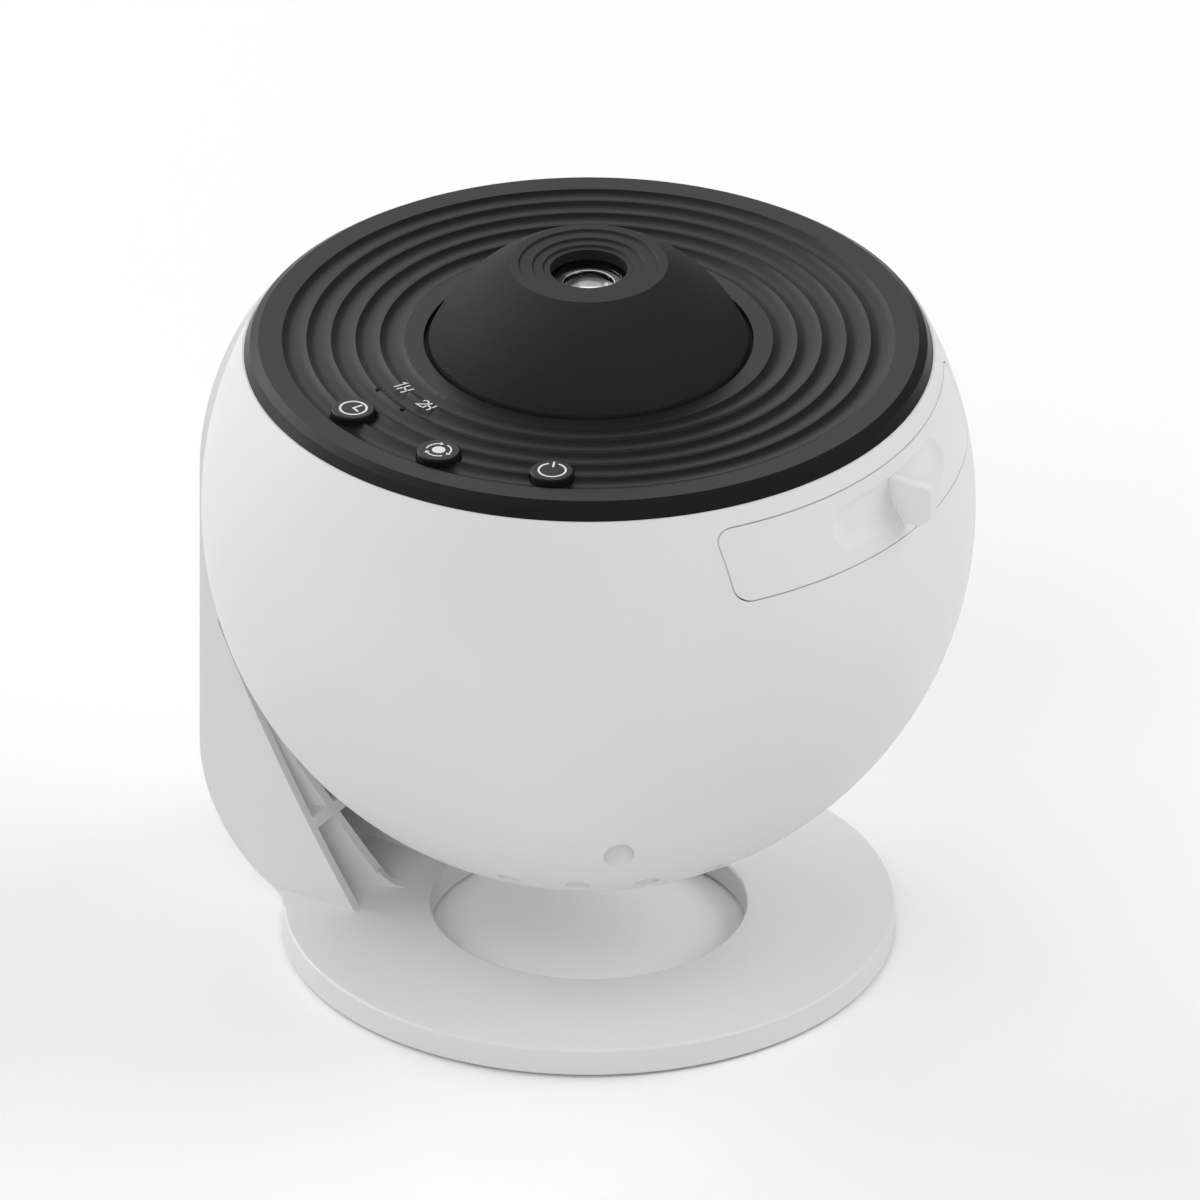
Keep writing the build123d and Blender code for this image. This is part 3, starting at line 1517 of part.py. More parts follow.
with BuildPart() as sink_screws:
    for x in (-sink_screw_offset, sink_screw_offset):
        for y in (-sink_screw_offset, sink_screw_offset):
            screw_seat = (x, y, axis_height + housing_bottom_level + housing_base)
            with Locations(Location(screw_seat, (180, 0, 0))):
                screw_length = housing_base + sink_plate - small_screw_radius - running_gap
                add_screw(small_screw_radius, screw_length, small_head_radius, small_head_height)
save(sink_screws, "sink_screws")

with BuildPart() as led_board:
    with BuildSketch(level(housing_bottom_level)):
        Circle(led_board_radius)
    extrude(amount=board_thickness)
save(led_board, "led_board")

with BuildPart() as led_emitter:
    led_level = housing_bottom_level + board_thickness
    with Locations((0, 0, axis_height + led_level)):
        Box(led_side, led_side, led_base, align=rest_on_top)
    with Locations((0, 0, axis_height + led_level + led_base)):
        Sphere(led_dome_radius, arc_size1=0, align=rest_on_top)
save(led_emitter, "led_emitter")

# ================================================================ electronics at the back
board_front_y = main_board_y + board_thickness

with BuildPart() as main_board:
    with Locations((0, main_board_y, axis_height + main_board_top_level)):
        Box(
            main_board_width,
            board_thickness,
            main_board_height,
            align=(Align.CENTER, Align.MIN, Align.MAX),
        )
    with BuildSketch(Plane.XZ.offset(-main_board_y)):
        with Locations([(side * board_tab_x, axis_height + board_screw_level) for side in (-1, 1)]):
            Circle(small_screw_radius + running_gap)
    extrude(amount=-board_thickness, mode=Mode.SUBTRACT)
save(main_board, "main_board")

with BuildPart() as board_screws:
    for side in (-1, 1):
        screw_seat = (side * board_tab_x, board_front_y, axis_height + board_screw_level)
        with Locations(Location(screw_seat, (90, 0, 0))):
            screw_length = board_thickness + board_tab_thickness - running_gap
            add_screw(small_screw_radius, screw_length, small_head_radius, small_head_height)
save(board_screws, "board_screws")

with BuildPart() as power_inlet:
    with Locations((0, board_front_y, axis_height + inlet_level)):
        Box(
            inlet_width,
            inlet_body_front_y - board_front_y,
            inlet_body_height,
            align=(Align.CENTER, Align.MIN, Align.CENTER),
        )
    with BuildSketch(Plane.XZ.offset(-inlet_body_front_y)):
        with Locations((0, axis_height + inlet_level)):
            Circle(inlet_nose_radius)
    extrude(amount=-(inlet_face_y - inlet_body_front_y))
    with BuildSketch(Plane.XZ.offset(-inlet_face_y)):
        with Locations((0, axis_height + inlet_level)):
            Circle(inlet_bore_radius)
    extrude(amount=inlet_bore_depth, mode=Mode.SUBTRACT)
save(power_inlet, "power_inlet")

with BuildPart() as inlet_pin:
    with BuildSketch(Plane.XZ.offset(-(inlet_face_y - inlet_bore_depth))):
        with Locations((0, axis_height + inlet_level)):
            Circle(inlet_pin_radius)
    extrude(amount=-(inlet_bore_depth - inlet_pin_radius))
    fillet(inlet_pin.faces().sort_by(Axis.Y)[-1].edges(), inlet_pin_radius / 2)
save(inlet_pin, "inlet_pin")

# ================================================================ leads to the main board
lead_end_y = main_board_y - assembly_fit
can_side_y = gearbox_length / 2 + assembly_fit
lead_paths = {
    "led_lead": (
        (0, led_lead_start_y, led_lead_level),
        (0, housing_base_side - 3 * lead_bend, led_lead_level),
        (led_lead_x, lead_end_y - 3 * lead_bend, led_lead_level),
        (led_lead_x, lead_end_y, led_lead_level),
    ),
    "motor_lead": (
        (motor_x, can_side_y, motor_lead_level),
        (motor_x, can_side_y + 5 * lead_bend, motor_lead_level),
        (motor_lead_x, lead_end_y - 3 * lead_bend, motor_lead_level),
        (motor_lead_x, lead_end_y, motor_lead_level),
    ),
    "button_lead": (
        (button_lead_x, button_lead_y, button_board_level - assembly_fit),
        (button_lead_x, button_lead_y, button_lead_level),
        (button_lead_side_x, -4 * lead_bend, button_lead_level),
        (button_lead_side_x, 5 * lead_bend, button_lead_level),
        (button_lead_end_x, lead_end_y - 3 * lead_bend, button_lead_level),
        (button_lead_end_x, lead_end_y, button_lead_level),
    ),
}
for lead_name, lead_points in lead_paths.items():
    with BuildPart() as lead:
        with BuildLine() as lead_path:
            FilletPolyline(
                *[(x, y, axis_height + height) for x, y, height in lead_points], radius=lead_bend
            )
        with BuildSketch(Plane(origin=lead_path.line @ 0, z_dir=lead_path.line % 0)):
            Circle(lead_radius)
        sweep(path=lead_path.line)
    save(lead, lead_name)
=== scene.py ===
import bpy
import bmesh
import math
from mathutils import Matrix, Vector


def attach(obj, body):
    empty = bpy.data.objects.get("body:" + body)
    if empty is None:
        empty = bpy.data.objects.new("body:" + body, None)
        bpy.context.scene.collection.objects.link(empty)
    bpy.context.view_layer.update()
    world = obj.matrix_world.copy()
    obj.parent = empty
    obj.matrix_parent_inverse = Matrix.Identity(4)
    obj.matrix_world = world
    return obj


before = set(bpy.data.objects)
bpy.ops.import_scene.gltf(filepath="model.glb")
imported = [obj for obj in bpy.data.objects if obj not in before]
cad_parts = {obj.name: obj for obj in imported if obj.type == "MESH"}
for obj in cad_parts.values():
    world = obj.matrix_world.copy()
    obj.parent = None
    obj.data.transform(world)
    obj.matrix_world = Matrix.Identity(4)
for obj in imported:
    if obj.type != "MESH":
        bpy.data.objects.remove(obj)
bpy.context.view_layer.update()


# ---------------------------------------------------------------- stand
# Base ring and ribbed arm, one injection moulding in white ABS. The mould is spark eroded, so the
# plastic has a fine satin grain, with faint duller patches where hands have held it.
def new_material(name, colour, roughness):
    """A material, its node tree and its Principled shader."""
    made = bpy.data.materials.new(name)
    made.use_nodes = True
    shader = made.node_tree.nodes["Principled BSDF"]
    shader.inputs["Base Color"].default_value = (*colour, 1)
    shader.inputs["Roughness"].default_value = roughness
    return made, made.node_tree, shader


def feed(tree, socket, value):
    """Give a socket its value: a link from another socket, or a plain number or colour."""
    if isinstance(value, bpy.types.NodeSocket):
        tree.links.new(value, socket)
    else:
        socket.default_value = value


def calculate(tree, operation, *values):
    """Arithmetic of one or two values, each a socket or a number."""
    made = tree.nodes.new("ShaderNodeMath")
    made.operation = operation
    for socket, value in zip(made.inputs, values):
        feed(tree, socket, value)
    return made.outputs[0]


def own_place(tree):
    """The place on a piece in its own coordinates, in metres."""
    return tree.nodes.new("ShaderNodeTexCoord").outputs["Object"]


def noise(tree, per_metre, detail=2.0, where=None):
    """Noise from 0 to 1, with so many waves to the metre."""
    made = tree.nodes.new("ShaderNodeTexNoise")
    made.inputs["Detail"].default_value = detail
    feed(tree, made.inputs["Scale"], per_metre)
    if where is None:
        where = own_place(tree)
    tree.links.new(where, made.inputs["Vector"])
    return made.outputs["Fac"]


def mixed(tree, share, first, second):
    """Two colours mixed by the second one's share, from 0 to 1."""
    made = tree.nodes.new("ShaderNodeMix")
    made.data_type = "RGBA"
    feed(tree, made.inputs["Factor"], share)
    feed(tree, made.inputs["A"], first)
    feed(tree, made.inputs["B"], second)
    return made.outputs["Result"]


def new_group(name, inputs, outputs):
    """A node group with its named sockets, and its two end nodes."""
    group = bpy.data.node_groups.new(name, "ShaderNodeTree")
    for socket_name, kind, value in inputs:
        made = group.interface.new_socket(socket_name, in_out="INPUT", socket_type=kind)
        made.default_value = value
    for socket_name, kind in outputs:
        group.interface.new_socket(socket_name, in_out="OUTPUT", socket_type=kind)
    return group, group.nodes.new("NodeGroupInput"), group.nodes.new("NodeGroupOutput")


def place_group(tree, group, values):
    """A node group placed in a tree with its own values."""
    placed = tree.nodes.new("ShaderNodeGroup")
    placed.node_tree = group
    for socket, value in values.items():
        placed.inputs[socket].default_value = value
    return placed


def relief(tree, shader, height, depth):
    """Relief on a shader from a height, so many metres deep."""
    made = tree.nodes.new("ShaderNodeBump")
    made.inputs["Distance"].default_value = depth
    made.inputs["Strength"].default_value = 1.0
    tree.links.new(height, made.inputs["Height"])
    tree.links.new(made.outputs["Normal"], shader.inputs["Normal"])


def dress(finish, *names):
    """Give CAD pieces their finish."""
    for name in names:
        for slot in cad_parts[name].material_slots:
            slot.material = finish


smudges_per_metre = 28.0
mould_grain, grain_in, grain_out = new_group(
    "mould grain",
    [
        ("Colour", "NodeSocketColor", (0.8, 0.8, 0.8, 1)),
        ("Worn Colour", "NodeSocketColor", (0.78, 0.78, 0.78, 1)),
        ("Pores per Metre", "NodeSocketFloat", 3000.0),
        ("Roughness", "NodeSocketFloat", 0.45),
        ("Roughness Swing", "NodeSocketFloat", 0.06),
    ],
    [
        ("Colour", "NodeSocketColor"),
        ("Roughness", "NodeSocketFloat"),
        ("Height", "NodeSocketFloat"),
    ],
)
pores = noise(mould_grain, grain_in.outputs["Pores per Metre"], detail=3.0)
smudges = noise(mould_grain, smudges_per_metre, detail=3.0)
grain_colour = mixed(
    mould_grain, smudges, grain_in.outputs["Colour"], grain_in.outputs["Worn Colour"]
)
grain_swing = calculate(
    mould_grain,
    "MULTIPLY",
    calculate(mould_grain, "SUBTRACT", smudges, 0.5),
    grain_in.outputs["Roughness Swing"],
)
grain_roughness = calculate(mould_grain, "ADD", grain_in.outputs["Roughness"], grain_swing)
mould_grain.links.new(grain_colour, grain_out.inputs["Colour"])
mould_grain.links.new(grain_roughness, grain_out.inputs["Roughness"])
mould_grain.links.new(pores, grain_out.inputs["Height"])


def place_grain(tree, colour, worn, roughness, swing, pores_per_metre):
    """The mould's grain, placed in a material with its own values."""
    return place_group(
        tree,
        mould_grain,
        {
            "Colour": (*colour, 1),
            "Worn Colour": (*worn, 1),
            "Pores per Metre": pores_per_metre,
            "Roughness": roughness,
            "Roughness Swing": swing,
        },
    )


def moulded(name, colour, worn, roughness, swing, pores_per_metre, depth, shine=0.5):
    """Plastic, rubber or ink with the mould's grain, its pores so many metres deep."""
    made, tree, shader = new_material(name, colour, roughness)
    shader.inputs["Specular IOR Level"].default_value = shine
    grain = place_grain(tree, colour, worn, roughness, swing, pores_per_metre)
    tree.links.new(grain.outputs["Colour"], shader.inputs["Base Color"])
    tree.links.new(grain.outputs["Roughness"], shader.inputs["Roughness"])
    relief(tree, shader, grain.outputs["Height"], depth)
    return made


white_abs = moulded(
    "white satin ABS",
    colour=(0.80, 0.80, 0.80),
    worn=(0.785, 0.785, 0.785),
    roughness=0.42,
    swing=0.08,
    pores_per_metre=3200,
    depth=12e-6,
)
dress(white_abs, "stand_frame")

# ---------------------------------------------------------------- foot
# Ring of grey thermoplastic rubber, pressed into a groove under the base. It keeps the stand from
# sliding and shows as a thin dark line between the base and the table.
foot_rubber = moulded(
    "foot rubber",
    colour=(0.06, 0.06, 0.062),
    worn=(0.085, 0.085, 0.087),
    roughness=0.8,
    swing=0.1,
    pores_per_metre=1500,
    depth=50e-6,
)
dress(foot_rubber, "foot_ring")

# ---------------------------------------------------------------- tilt pivot
# Steel bolt and nut that clamp the ball's hub against the arm's boss, with a dished spring and a
# pressure washer that keep the friction even. The turned steel has fine rings round the axis.
marks_per_metre = 900.0
tarnish_per_metre = 160.0
polish_between_marks = 0.2
dullness_of_marks = 0.25
tool_marks, marks_in, marks_out = new_group(
    "tool marks",
    [
        ("Metal", "NodeSocketColor", (0.56, 0.57, 0.58, 1)),
        ("Tarnish", "NodeSocketColor", (0.42, 0.42, 0.42, 1)),
        ("Fineness", "NodeSocketVector", (1.0, 1.0, 1.0)),
    ],
    [
        ("Colour", "NodeSocketColor"),
        ("Roughness", "NodeSocketFloat"),
        ("Height", "NodeSocketFloat"),
    ],
)
drawn_out = tool_marks.nodes.new("ShaderNodeVectorMath")
drawn_out.operation = "MULTIPLY"
tool_marks.links.new(own_place(tool_marks), drawn_out.inputs[0])
tool_marks.links.new(marks_in.outputs["Fineness"], drawn_out.inputs[1])
scratches = noise(tool_marks, marks_per_metre, where=drawn_out.outputs[0])
marks_colour = mixed(
    tool_marks,
    noise(tool_marks, tarnish_per_metre),
    marks_in.outputs["Metal"],
    marks_in.outputs["Tarnish"],
)
marks_roughness = calculate(
    tool_marks,
    "ADD",
    calculate(tool_marks, "MULTIPLY", scratches, dullness_of_marks),
    polish_between_marks,
)
tool_marks.links.new(marks_colour, marks_out.inputs["Colour"])
tool_marks.links.new(marks_roughness, marks_out.inputs["Roughness"])
tool_marks.links.new(scratches, marks_out.inputs["Height"])


def metal(name, colour, tarnish, fineness, depth):
    """Bare metal with tool marks, so many times finer along each axis."""
    made, tree, shader = new_material(name, colour, roughness=0.3)
    shader.inputs["Metallic"].default_value = 1.0
    marked = place_group(
        tree,
        tool_marks,
        {"Metal": (*colour, 1), "Tarnish": (*tarnish, 1), "Fineness": fineness},
    )
    tree.links.new(marked.outputs["Colour"], shader.inputs["Base Color"])
    tree.links.new(marked.outputs["Roughness"], shader.inputs["Roughness"])
    relief(tree, shader, marked.outputs["Height"], depth)
    return made


pivot_steel = metal(
    "pivot steel",
    colour=(0.58, 0.58, 0.59),
    tarnish=(0.44, 0.44, 0.45),
    fineness=(6, 1, 1),
    depth=10e-6,
)
dress(pivot_steel, "pivot_bolt", "pivot_nut", "pressure_washer")
spring_steel = metal(
    "blued spring steel",
    colour=(0.28, 0.30, 0.36),
    tarnish=(0.16, 0.17, 0.2),
    fineness=(2, 1, 1),
    depth=10e-6,
)
dress(spring_steel, "spring_washer")

# ---------------------------------------------------------------- pivot plastics
# Bush and thrust washer in natural acetal, a waxy off-white plastic that slides well on steel and
# on ABS, and the white cap that snaps over the bolt's head.
acetal = moulded(
    "natural acetal",
    colour=(0.76, 0.75, 0.70),
    worn=(0.70, 0.69, 0.64),
    roughness=0.35,
    swing=0.1,
    pores_per_metre=1800,
    depth=8e-6,
)
dress(acetal, "pivot_bush", "thrust_washer")
dress(white_abs, "pivot_cap")

# ---------------------------------------------------------------- ball shell
# Ball of white ABS in one piece with the vents in its lower half, open at the top for the plate.
# It has the stand's satin grain, so the two match.
dress(white_abs, "ball_shell")

# ---------------------------------------------------------------- inner frame
# Optical deck, posts and drawer guides in one black moulding of glass filled ABS, and the lens
# mount that is screwed to it. Short fibres give them a dull, faintly streaked skin.
filled_abs = moulded(
    "black filled ABS",
    colour=(0.018, 0.018, 0.019),
    worn=(0.03, 0.03, 0.031),
    roughness=0.55,
    swing=0.12,
    pores_per_metre=1200,
    depth=30e-6,
)
dress(filled_abs, "chassis", "lens_mount")

# ---------------------------------------------------------------- screws
# Cross-slotted pan-head screws in zinc plated steel. They hold the deck, boards, lamp, heat sink,
# motor, drawer front and lens mount.
zinc_steel = metal(
    "zinc plated steel",
    colour=(0.62, 0.63, 0.64),
    tarnish=(0.5, 0.52, 0.55),
    fineness=(1, 1, 4),
    depth=8e-6,
)
dress(
    zinc_steel,
    "case_screws",
    "lens_mount_screws",
    "button_board_screws",
    "board_screws",
    "drawer_screws",
    "lamp_screws",
    "motor_screws",
    "sink_screws",
)

# ---------------------------------------------------------------- lamp housing and heat sink
# The housing is cast aluminium, shot blasted, and carries the condensers. The sink under it is an
# extrusion with fins, with the die's lines along them.
cast_aluminium = metal(
    "blasted aluminium",
    colour=(0.66, 0.66, 0.66),
    tarnish=(0.56, 0.56, 0.57),
    fineness=(1, 1, 1),
    depth=40e-6,
)
dress(cast_aluminium, "lamp_housing")
drawn_aluminium = metal(
    "extruded aluminium",
    colour=(0.70, 0.70, 0.71),
    tarnish=(0.6, 0.6, 0.61),
    fineness=(1, 0.05, 1),
    depth=10e-6,
)
dress(drawn_aluminium, "heat_sink")

# ---------------------------------------------------------------- lamp
# White LED on a round aluminium core board: yellow phosphor under a clear silicone dome. The
# board's face is white solder mask.
phosphor, phosphor_tree, phosphor_shader = new_material(
    "LED phosphor", colour=(0.86, 0.66, 0.12), roughness=0.18
)
phosphor_grain = place_grain(
    phosphor_tree,
    colour=(0.88, 0.68, 0.12),
    worn=(0.80, 0.55, 0.06),
    roughness=0.18,
    swing=0.05,
    pores_per_metre=5000,
)
phosphor_tree.links.new(phosphor_grain.outputs["Colour"], phosphor_shader.inputs["Base Color"])
phosphor_tree.links.new(phosphor_grain.outputs["Roughness"], phosphor_shader.inputs["Roughness"])
phosphor_shader.inputs["Coat Weight"].default_value = 0.8
phosphor_shader.inputs["Coat Roughness"].default_value = 0.03
dress(phosphor, "led_emitter")

track_rings_per_cell = 4.0
gap_share = 0.55
mask_roughness = 0.32
track_height = 30e-6
solder_mask, mask_in, mask_out = new_group(
    "solder mask",
    [
        ("Mask", "NodeSocketColor", (0.02, 0.12, 0.05, 1)),
        ("Track", "NodeSocketColor", (0.04, 0.2, 0.08, 1)),
        ("Cells per Metre", "NodeSocketFloat", 350.0),
    ],
    [
        ("Colour", "NodeSocketColor"),
        ("Height", "NodeSocketFloat"),
    ],
)
board_cells = solder_mask.nodes.new("ShaderNodeTexVoronoi")
board_cells.distance = "CHEBYCHEV"
board_cells.feature = "F2"
solder_mask.links.new(own_place(solder_mask), board_cells.inputs["Vector"])
solder_mask.links.new(mask_in.outputs["Cells per Metre"], board_cells.inputs["Scale"])
board_rings = calculate(
    solder_mask, "MULTIPLY", board_cells.outputs["Distance"], track_rings_per_cell
)
tracks = calculate(
    solder_mask, "GREATER_THAN", calculate(solder_mask, "FRACT", board_rings), gap_share
)
mask_colour = mixed(solder_mask, tracks, mask_in.outputs["Mask"], mask_in.outputs["Track"])
solder_mask.links.new(mask_colour, mask_out.inputs["Colour"])
solder_mask.links.new(tracks, mask_out.inputs["Height"])


def circuit_board(name, mask, track, cells_per_metre):
    """Circuit board under solder mask, with its tracks showing through."""
    made, tree, shader = new_material(name, mask, mask_roughness)
    printed = place_group(
        tree,
        solder_mask,
        {"Mask": (*mask, 1), "Track": (*track, 1), "Cells per Metre": cells_per_metre},
    )
    tree.links.new(printed.outputs["Colour"], shader.inputs["Base Color"])
    relief(tree, shader, printed.outputs["Height"], track_height)
    return made


core_board = circuit_board(
    "white core board", mask=(0.78, 0.78, 0.77), track=(0.7, 0.7, 0.68), cells_per_metre=120
)
dress(core_board, "led_board")

# ---------------------------------------------------------------- condensers
# Two plano-convex lenses of clear optical acrylic with flat rims, held apart by a black spacer and
# kept in the housing by a ring.
polish_per_metre = 700.0
polish_depth = 0.4e-6


def clear(name, tint, index, roughness):
    """Clear lens material with faint marks of its polishing."""
    made, tree, shader = new_material(name, tint, roughness)
    shader.inputs["Transmission Weight"].default_value = 1.0
    shader.inputs["IOR"].default_value = index
    polish = noise(tree, polish_per_metre)
    dulled = calculate(
        tree, "ADD", calculate(tree, "MULTIPLY", polish, roughness), roughness / 2
    )
    tree.links.new(dulled, shader.inputs["Roughness"])
    relief(tree, shader, polish, polish_depth)
    return made


condenser_acrylic = clear(
    "condenser acrylic", tint=(0.98, 0.99, 0.98), index=1.49, roughness=0.02
)
dress(condenser_acrylic, "condenser_lower", "condenser_upper")
dress(filled_abs, "condenser_spacer", "condenser_ring")

# ---------------------------------------------------------------- film disc
# Printed polyester film with stars on a dark sky, in a frame that lifts out of the gear. The frame
# and gear are black acetal, and a thin ring holds the film down.
black_acetal = moulded(
    "black acetal",
    colour=(0.022, 0.022, 0.023),
    worn=(0.03, 0.03, 0.03),
    roughness=0.38,
    swing=0.08,
    pores_per_metre=1800,
    depth=8e-6,
)
dress(black_acetal, "disc_gear", "disc_frame", "film_ring")


def ramp(tree, share, stops):
    """Colours that follow one another along a share, each with its place from 0 to 1."""
    made = tree.nodes.new("ShaderNodeValToRGB")
    marks = made.color_ramp.elements
    for index, (at, colour) in enumerate(stops):
        mark = marks[index] if index < 2 else marks.new(at)
        mark.position = at
        mark.color = colour
    tree.links.new(share, made.inputs["Fac"])
    return made.outputs["Color"]


clouds_per_metre = 55.0
stars_per_metre = 700.0
star_contrast = 3.0
largest_star = 0.35
star_print, star_tree, star_shader = new_material(
    "star film print", colour=(0.004, 0.006, 0.02), roughness=0.12
)
sky_colour = ramp(
    star_tree,
    noise(star_tree, clouds_per_metre, detail=6.0),
    (
        (0.42, (0.002, 0.004, 0.016, 1)),
        (0.6, (0.01, 0.035, 0.13, 1)),
        (0.78, (0.12, 0.04, 0.2, 1)),
    ),
)
star_cells = star_tree.nodes.new("ShaderNodeTexVoronoi")
star_cells.inputs["Scale"].default_value = stars_per_metre
star_tree.links.new(own_place(star_tree), star_cells.inputs["Vector"])
star_draw = star_tree.nodes.new("ShaderNodeSeparateColor")
star_tree.links.new(star_cells.outputs["Color"], star_draw.inputs["Color"])
star_sizes = calculate(
    star_tree,
    "MULTIPLY",
    calculate(star_tree, "POWER", star_draw.outputs["Red"], star_contrast),
    largest_star,
)
stars = calculate(star_tree, "LESS_THAN", star_cells.outputs["Distance"], star_sizes)
film_colour = mixed(star_tree, stars, sky_colour, (0.9, 0.93, 1.0, 1))
star_tree.links.new(film_colour, star_shader.inputs["Base Color"])
dress(star_print, "star_film")

# ---------------------------------------------------------------- film drawer
# The tray is the inner frame's black plastic, and the front is white like the ball, screwed to it.
# Its outer face follows the ball, with a scoop for the finger and a fin to pull.
dress(filled_abs, "drawer_tray")
dress(white_abs, "drawer_front")

# ---------------------------------------------------------------- disc drive
# Gear motor in a drawn steel can, and an acetal pinion on its flatted shaft. The shaft is turned
# steel like the pivot's bolt, and so are the cam pins that are pressed into the lens barrel.
motor_can = metal(
    "plated motor can",
    colour=(0.6, 0.6, 0.6),
    tarnish=(0.5, 0.5, 0.51),
    fineness=(1, 1, 5),
    depth=8e-6,
)
dress(motor_can, "gear_motor")
dress(pivot_steel, "motor_shaft", "cam_pins")
dress(acetal, "drive_pinion")

# ---------------------------------------------------------------- boards
# Fibreglass boards under green solder mask: one at the back for power, one under the keys with
# three push switches and two indicator lights, which light pipes bring to the plate. The pipes'
# ends are painted near black with almost no gloss, a painted shade, so they show as dark pinholes.
green_board = circuit_board(
    "green circuit board", mask=(0.012, 0.09, 0.035), track=(0.03, 0.17, 0.07), cells_per_metre=420
)
dress(green_board, "main_board", "button_board")
switch_black = moulded(
    "switch and socket plastic",
    colour=(0.02, 0.02, 0.02),
    worn=(0.03, 0.03, 0.03),
    roughness=0.35,
    swing=0.1,
    pores_per_metre=2200,
    depth=10e-6,
)
dress(switch_black, "tact_switches", "power_inlet")
indicator_resin = moulded(
    "indicator resin",
    colour=(0.72, 0.76, 0.55),
    worn=(0.66, 0.7, 0.48),
    roughness=0.25,
    swing=0.05,
    pores_per_metre=4000,
    depth=5e-6,
)
dress(indicator_resin, "indicator_leds")
# Light pipe ends in near black with almost no gloss: painted shade that stands in for the dark of a
# pinhole.
pipe_painted_pinhole_shade = moulded(
    "light pipe with painted pinhole shade",
    colour=(0.0015, 0.0015, 0.0015),
    worn=(0.002, 0.002, 0.002),
    roughness=0.3,
    swing=0.05,
    pores_per_metre=3000,
    depth=3e-6,
    shine=0.04,
)
dress(pipe_painted_pinhole_shade, "light_pipes")
socket_brass = metal(
    "socket brass",
    colour=(0.72, 0.55, 0.28),
    tarnish=(0.6, 0.44, 0.2),
    fineness=(1, 5, 1),
    depth=6e-6,
)
dress(socket_brass, "inlet_pin")

# ---------------------------------------------------------------- leads
# Silicone insulated leads from the lamp, motor and key board to the main board. The rubber is
# soft and dull, with a powdery skin.
for lead_name, lead_colour in (
    ("led_lead", (0.45, 0.02, 0.02)),
    ("motor_lead", (0.02, 0.02, 0.022)),
    ("button_lead", (0.5, 0.5, 0.5)),
):
    lead_silicone = moulded(
        lead_name + " silicone",
        colour=lead_colour,
        worn=tuple(0.8 * part + 0.02 for part in lead_colour),
        roughness=0.6,
        swing=0.1,
        pores_per_metre=2500,
        depth=20e-6,
    )
    dress(lead_silicone, lead_name)

# ---------------------------------------------------------------- top plate
# Black ABS plate with ring-shaped scallops, moulded with a fine even grain. It snaps into the
# ball's rim, and the keys and the dome stand in its holes.
black_abs = moulded(
    "black satin ABS",
    colour=(0.012, 0.012, 0.012),
    worn=(0.014, 0.014, 0.014),
    roughness=0.31,
    swing=0.05,
    pores_per_metre=3600,
    depth=30e-6,
    shine=0.155,
)
dress(black_abs, "top_plate")

# ---------------------------------------------------------------- keys
# Three round keys in a deeper black, on sprung switches. Each carries a white symbol, pad
# printed on its flat top: power, turning sky, and timer.
key_abs = moulded(
    "deep black ABS",
    colour=(0.009, 0.009, 0.009),
    worn=(0.011, 0.011, 0.011),
    roughness=0.31,
    swing=0.05,
    pores_per_metre=3600,
    depth=30e-6,
    shine=0.18,
)
dress(key_abs, "power_key", "rotate_key", "timer_key")

white_ink = moulded(
    "white printing ink",
    colour=(0.78, 0.78, 0.78),
    worn=(0.70, 0.70, 0.70),
    roughness=0.5,
    swing=0.1,
    pores_per_metre=5000,
    depth=8e-6,
)
ink_thickness = 0.00004
key_top = 0.1318
key_circle = 0.0540
power_angle, rotate_angle, timer_angle = -65.0, -90.0, -115.0


def point_at(radius, angle):
    """A point on a circle round a mark's middle, at an angle in degrees."""
    turn = math.radians(angle)
    return radius * math.cos(turn), radius * math.sin(turn)


def arc_points(radius, first, last, steps):
    """Points along a circle from one angle in degrees to another."""
    return [point_at(radius, first + (last - first) * step / steps) for step in range(steps + 1)]


def ink_line(ink, points, width, round_ends=True):
    """Printed line of one width through points, flat in the mark's own plane."""
    places = [Vector(point) for point in points]
    sides = []
    for index, middle in enumerate(places):
        before = places[max(index - 1, 0)]
        after = places[min(index + 1, len(places) - 1)]
        run_in = (middle - before).normalized() if index else (after - middle).normalized()
        run_out = (after - middle).normalized() if after != middle else run_in
        along = (run_in + run_out).normalized()
        reach = width / 2 / max(along.dot(run_in), 0.5)
        across = Vector((-along.y, along.x)) * reach
        sides.append((middle + across, middle - across))
    left = [ink.verts.new((*side, 0)) for side, _ in sides]
    right = [ink.verts.new((*side, 0)) for _, side in sides]
    for index in range(len(sides) - 1):
        ink.faces.new((left[index], right[index], right[index + 1], left[index + 1]))
    if not round_ends:
        return
    end_steps = 8
    for at, first, last in (
        (places[0], left[0], right[0]),
        (places[-1], right[-1], left[-1]),
    ):
        start = math.atan2(first.co.y - at.y, first.co.x - at.x)
        turns = [start + math.pi * step / end_steps for step in range(1, end_steps)]
        half_round = [
            ink.verts.new((at.x + width / 2 * math.cos(turn), at.y + width / 2 * math.sin(turn), 0))
            for turn in turns
        ]
        ink.faces.new((first, *half_round, last))


def ink_patch(ink, points):
    """Filled printed shape inside points."""
    ink.faces.new([ink.verts.new((*point, 0)) for point in points])


def thicken(ink):
    """Closed layer from flat ink: walls round its outline, a top, and the flat faces below."""
    flat = list(ink.faces)
    outline = [
        (edge.link_loops[0].vert, edge.link_loops[0].link_loop_next.vert)
        for edge in ink.edges
        if edge.is_boundary
    ]
    raised = {low: ink.verts.new((*low.co.xy, ink_thickness)) for low in list(ink.verts)}
    for start, end in outline:
        ink.faces.new((start, end, raised[end], raised[start]))
    for face in flat:
        ink.faces.new([raised[low] for low in face.verts])
        face.normal_flip()


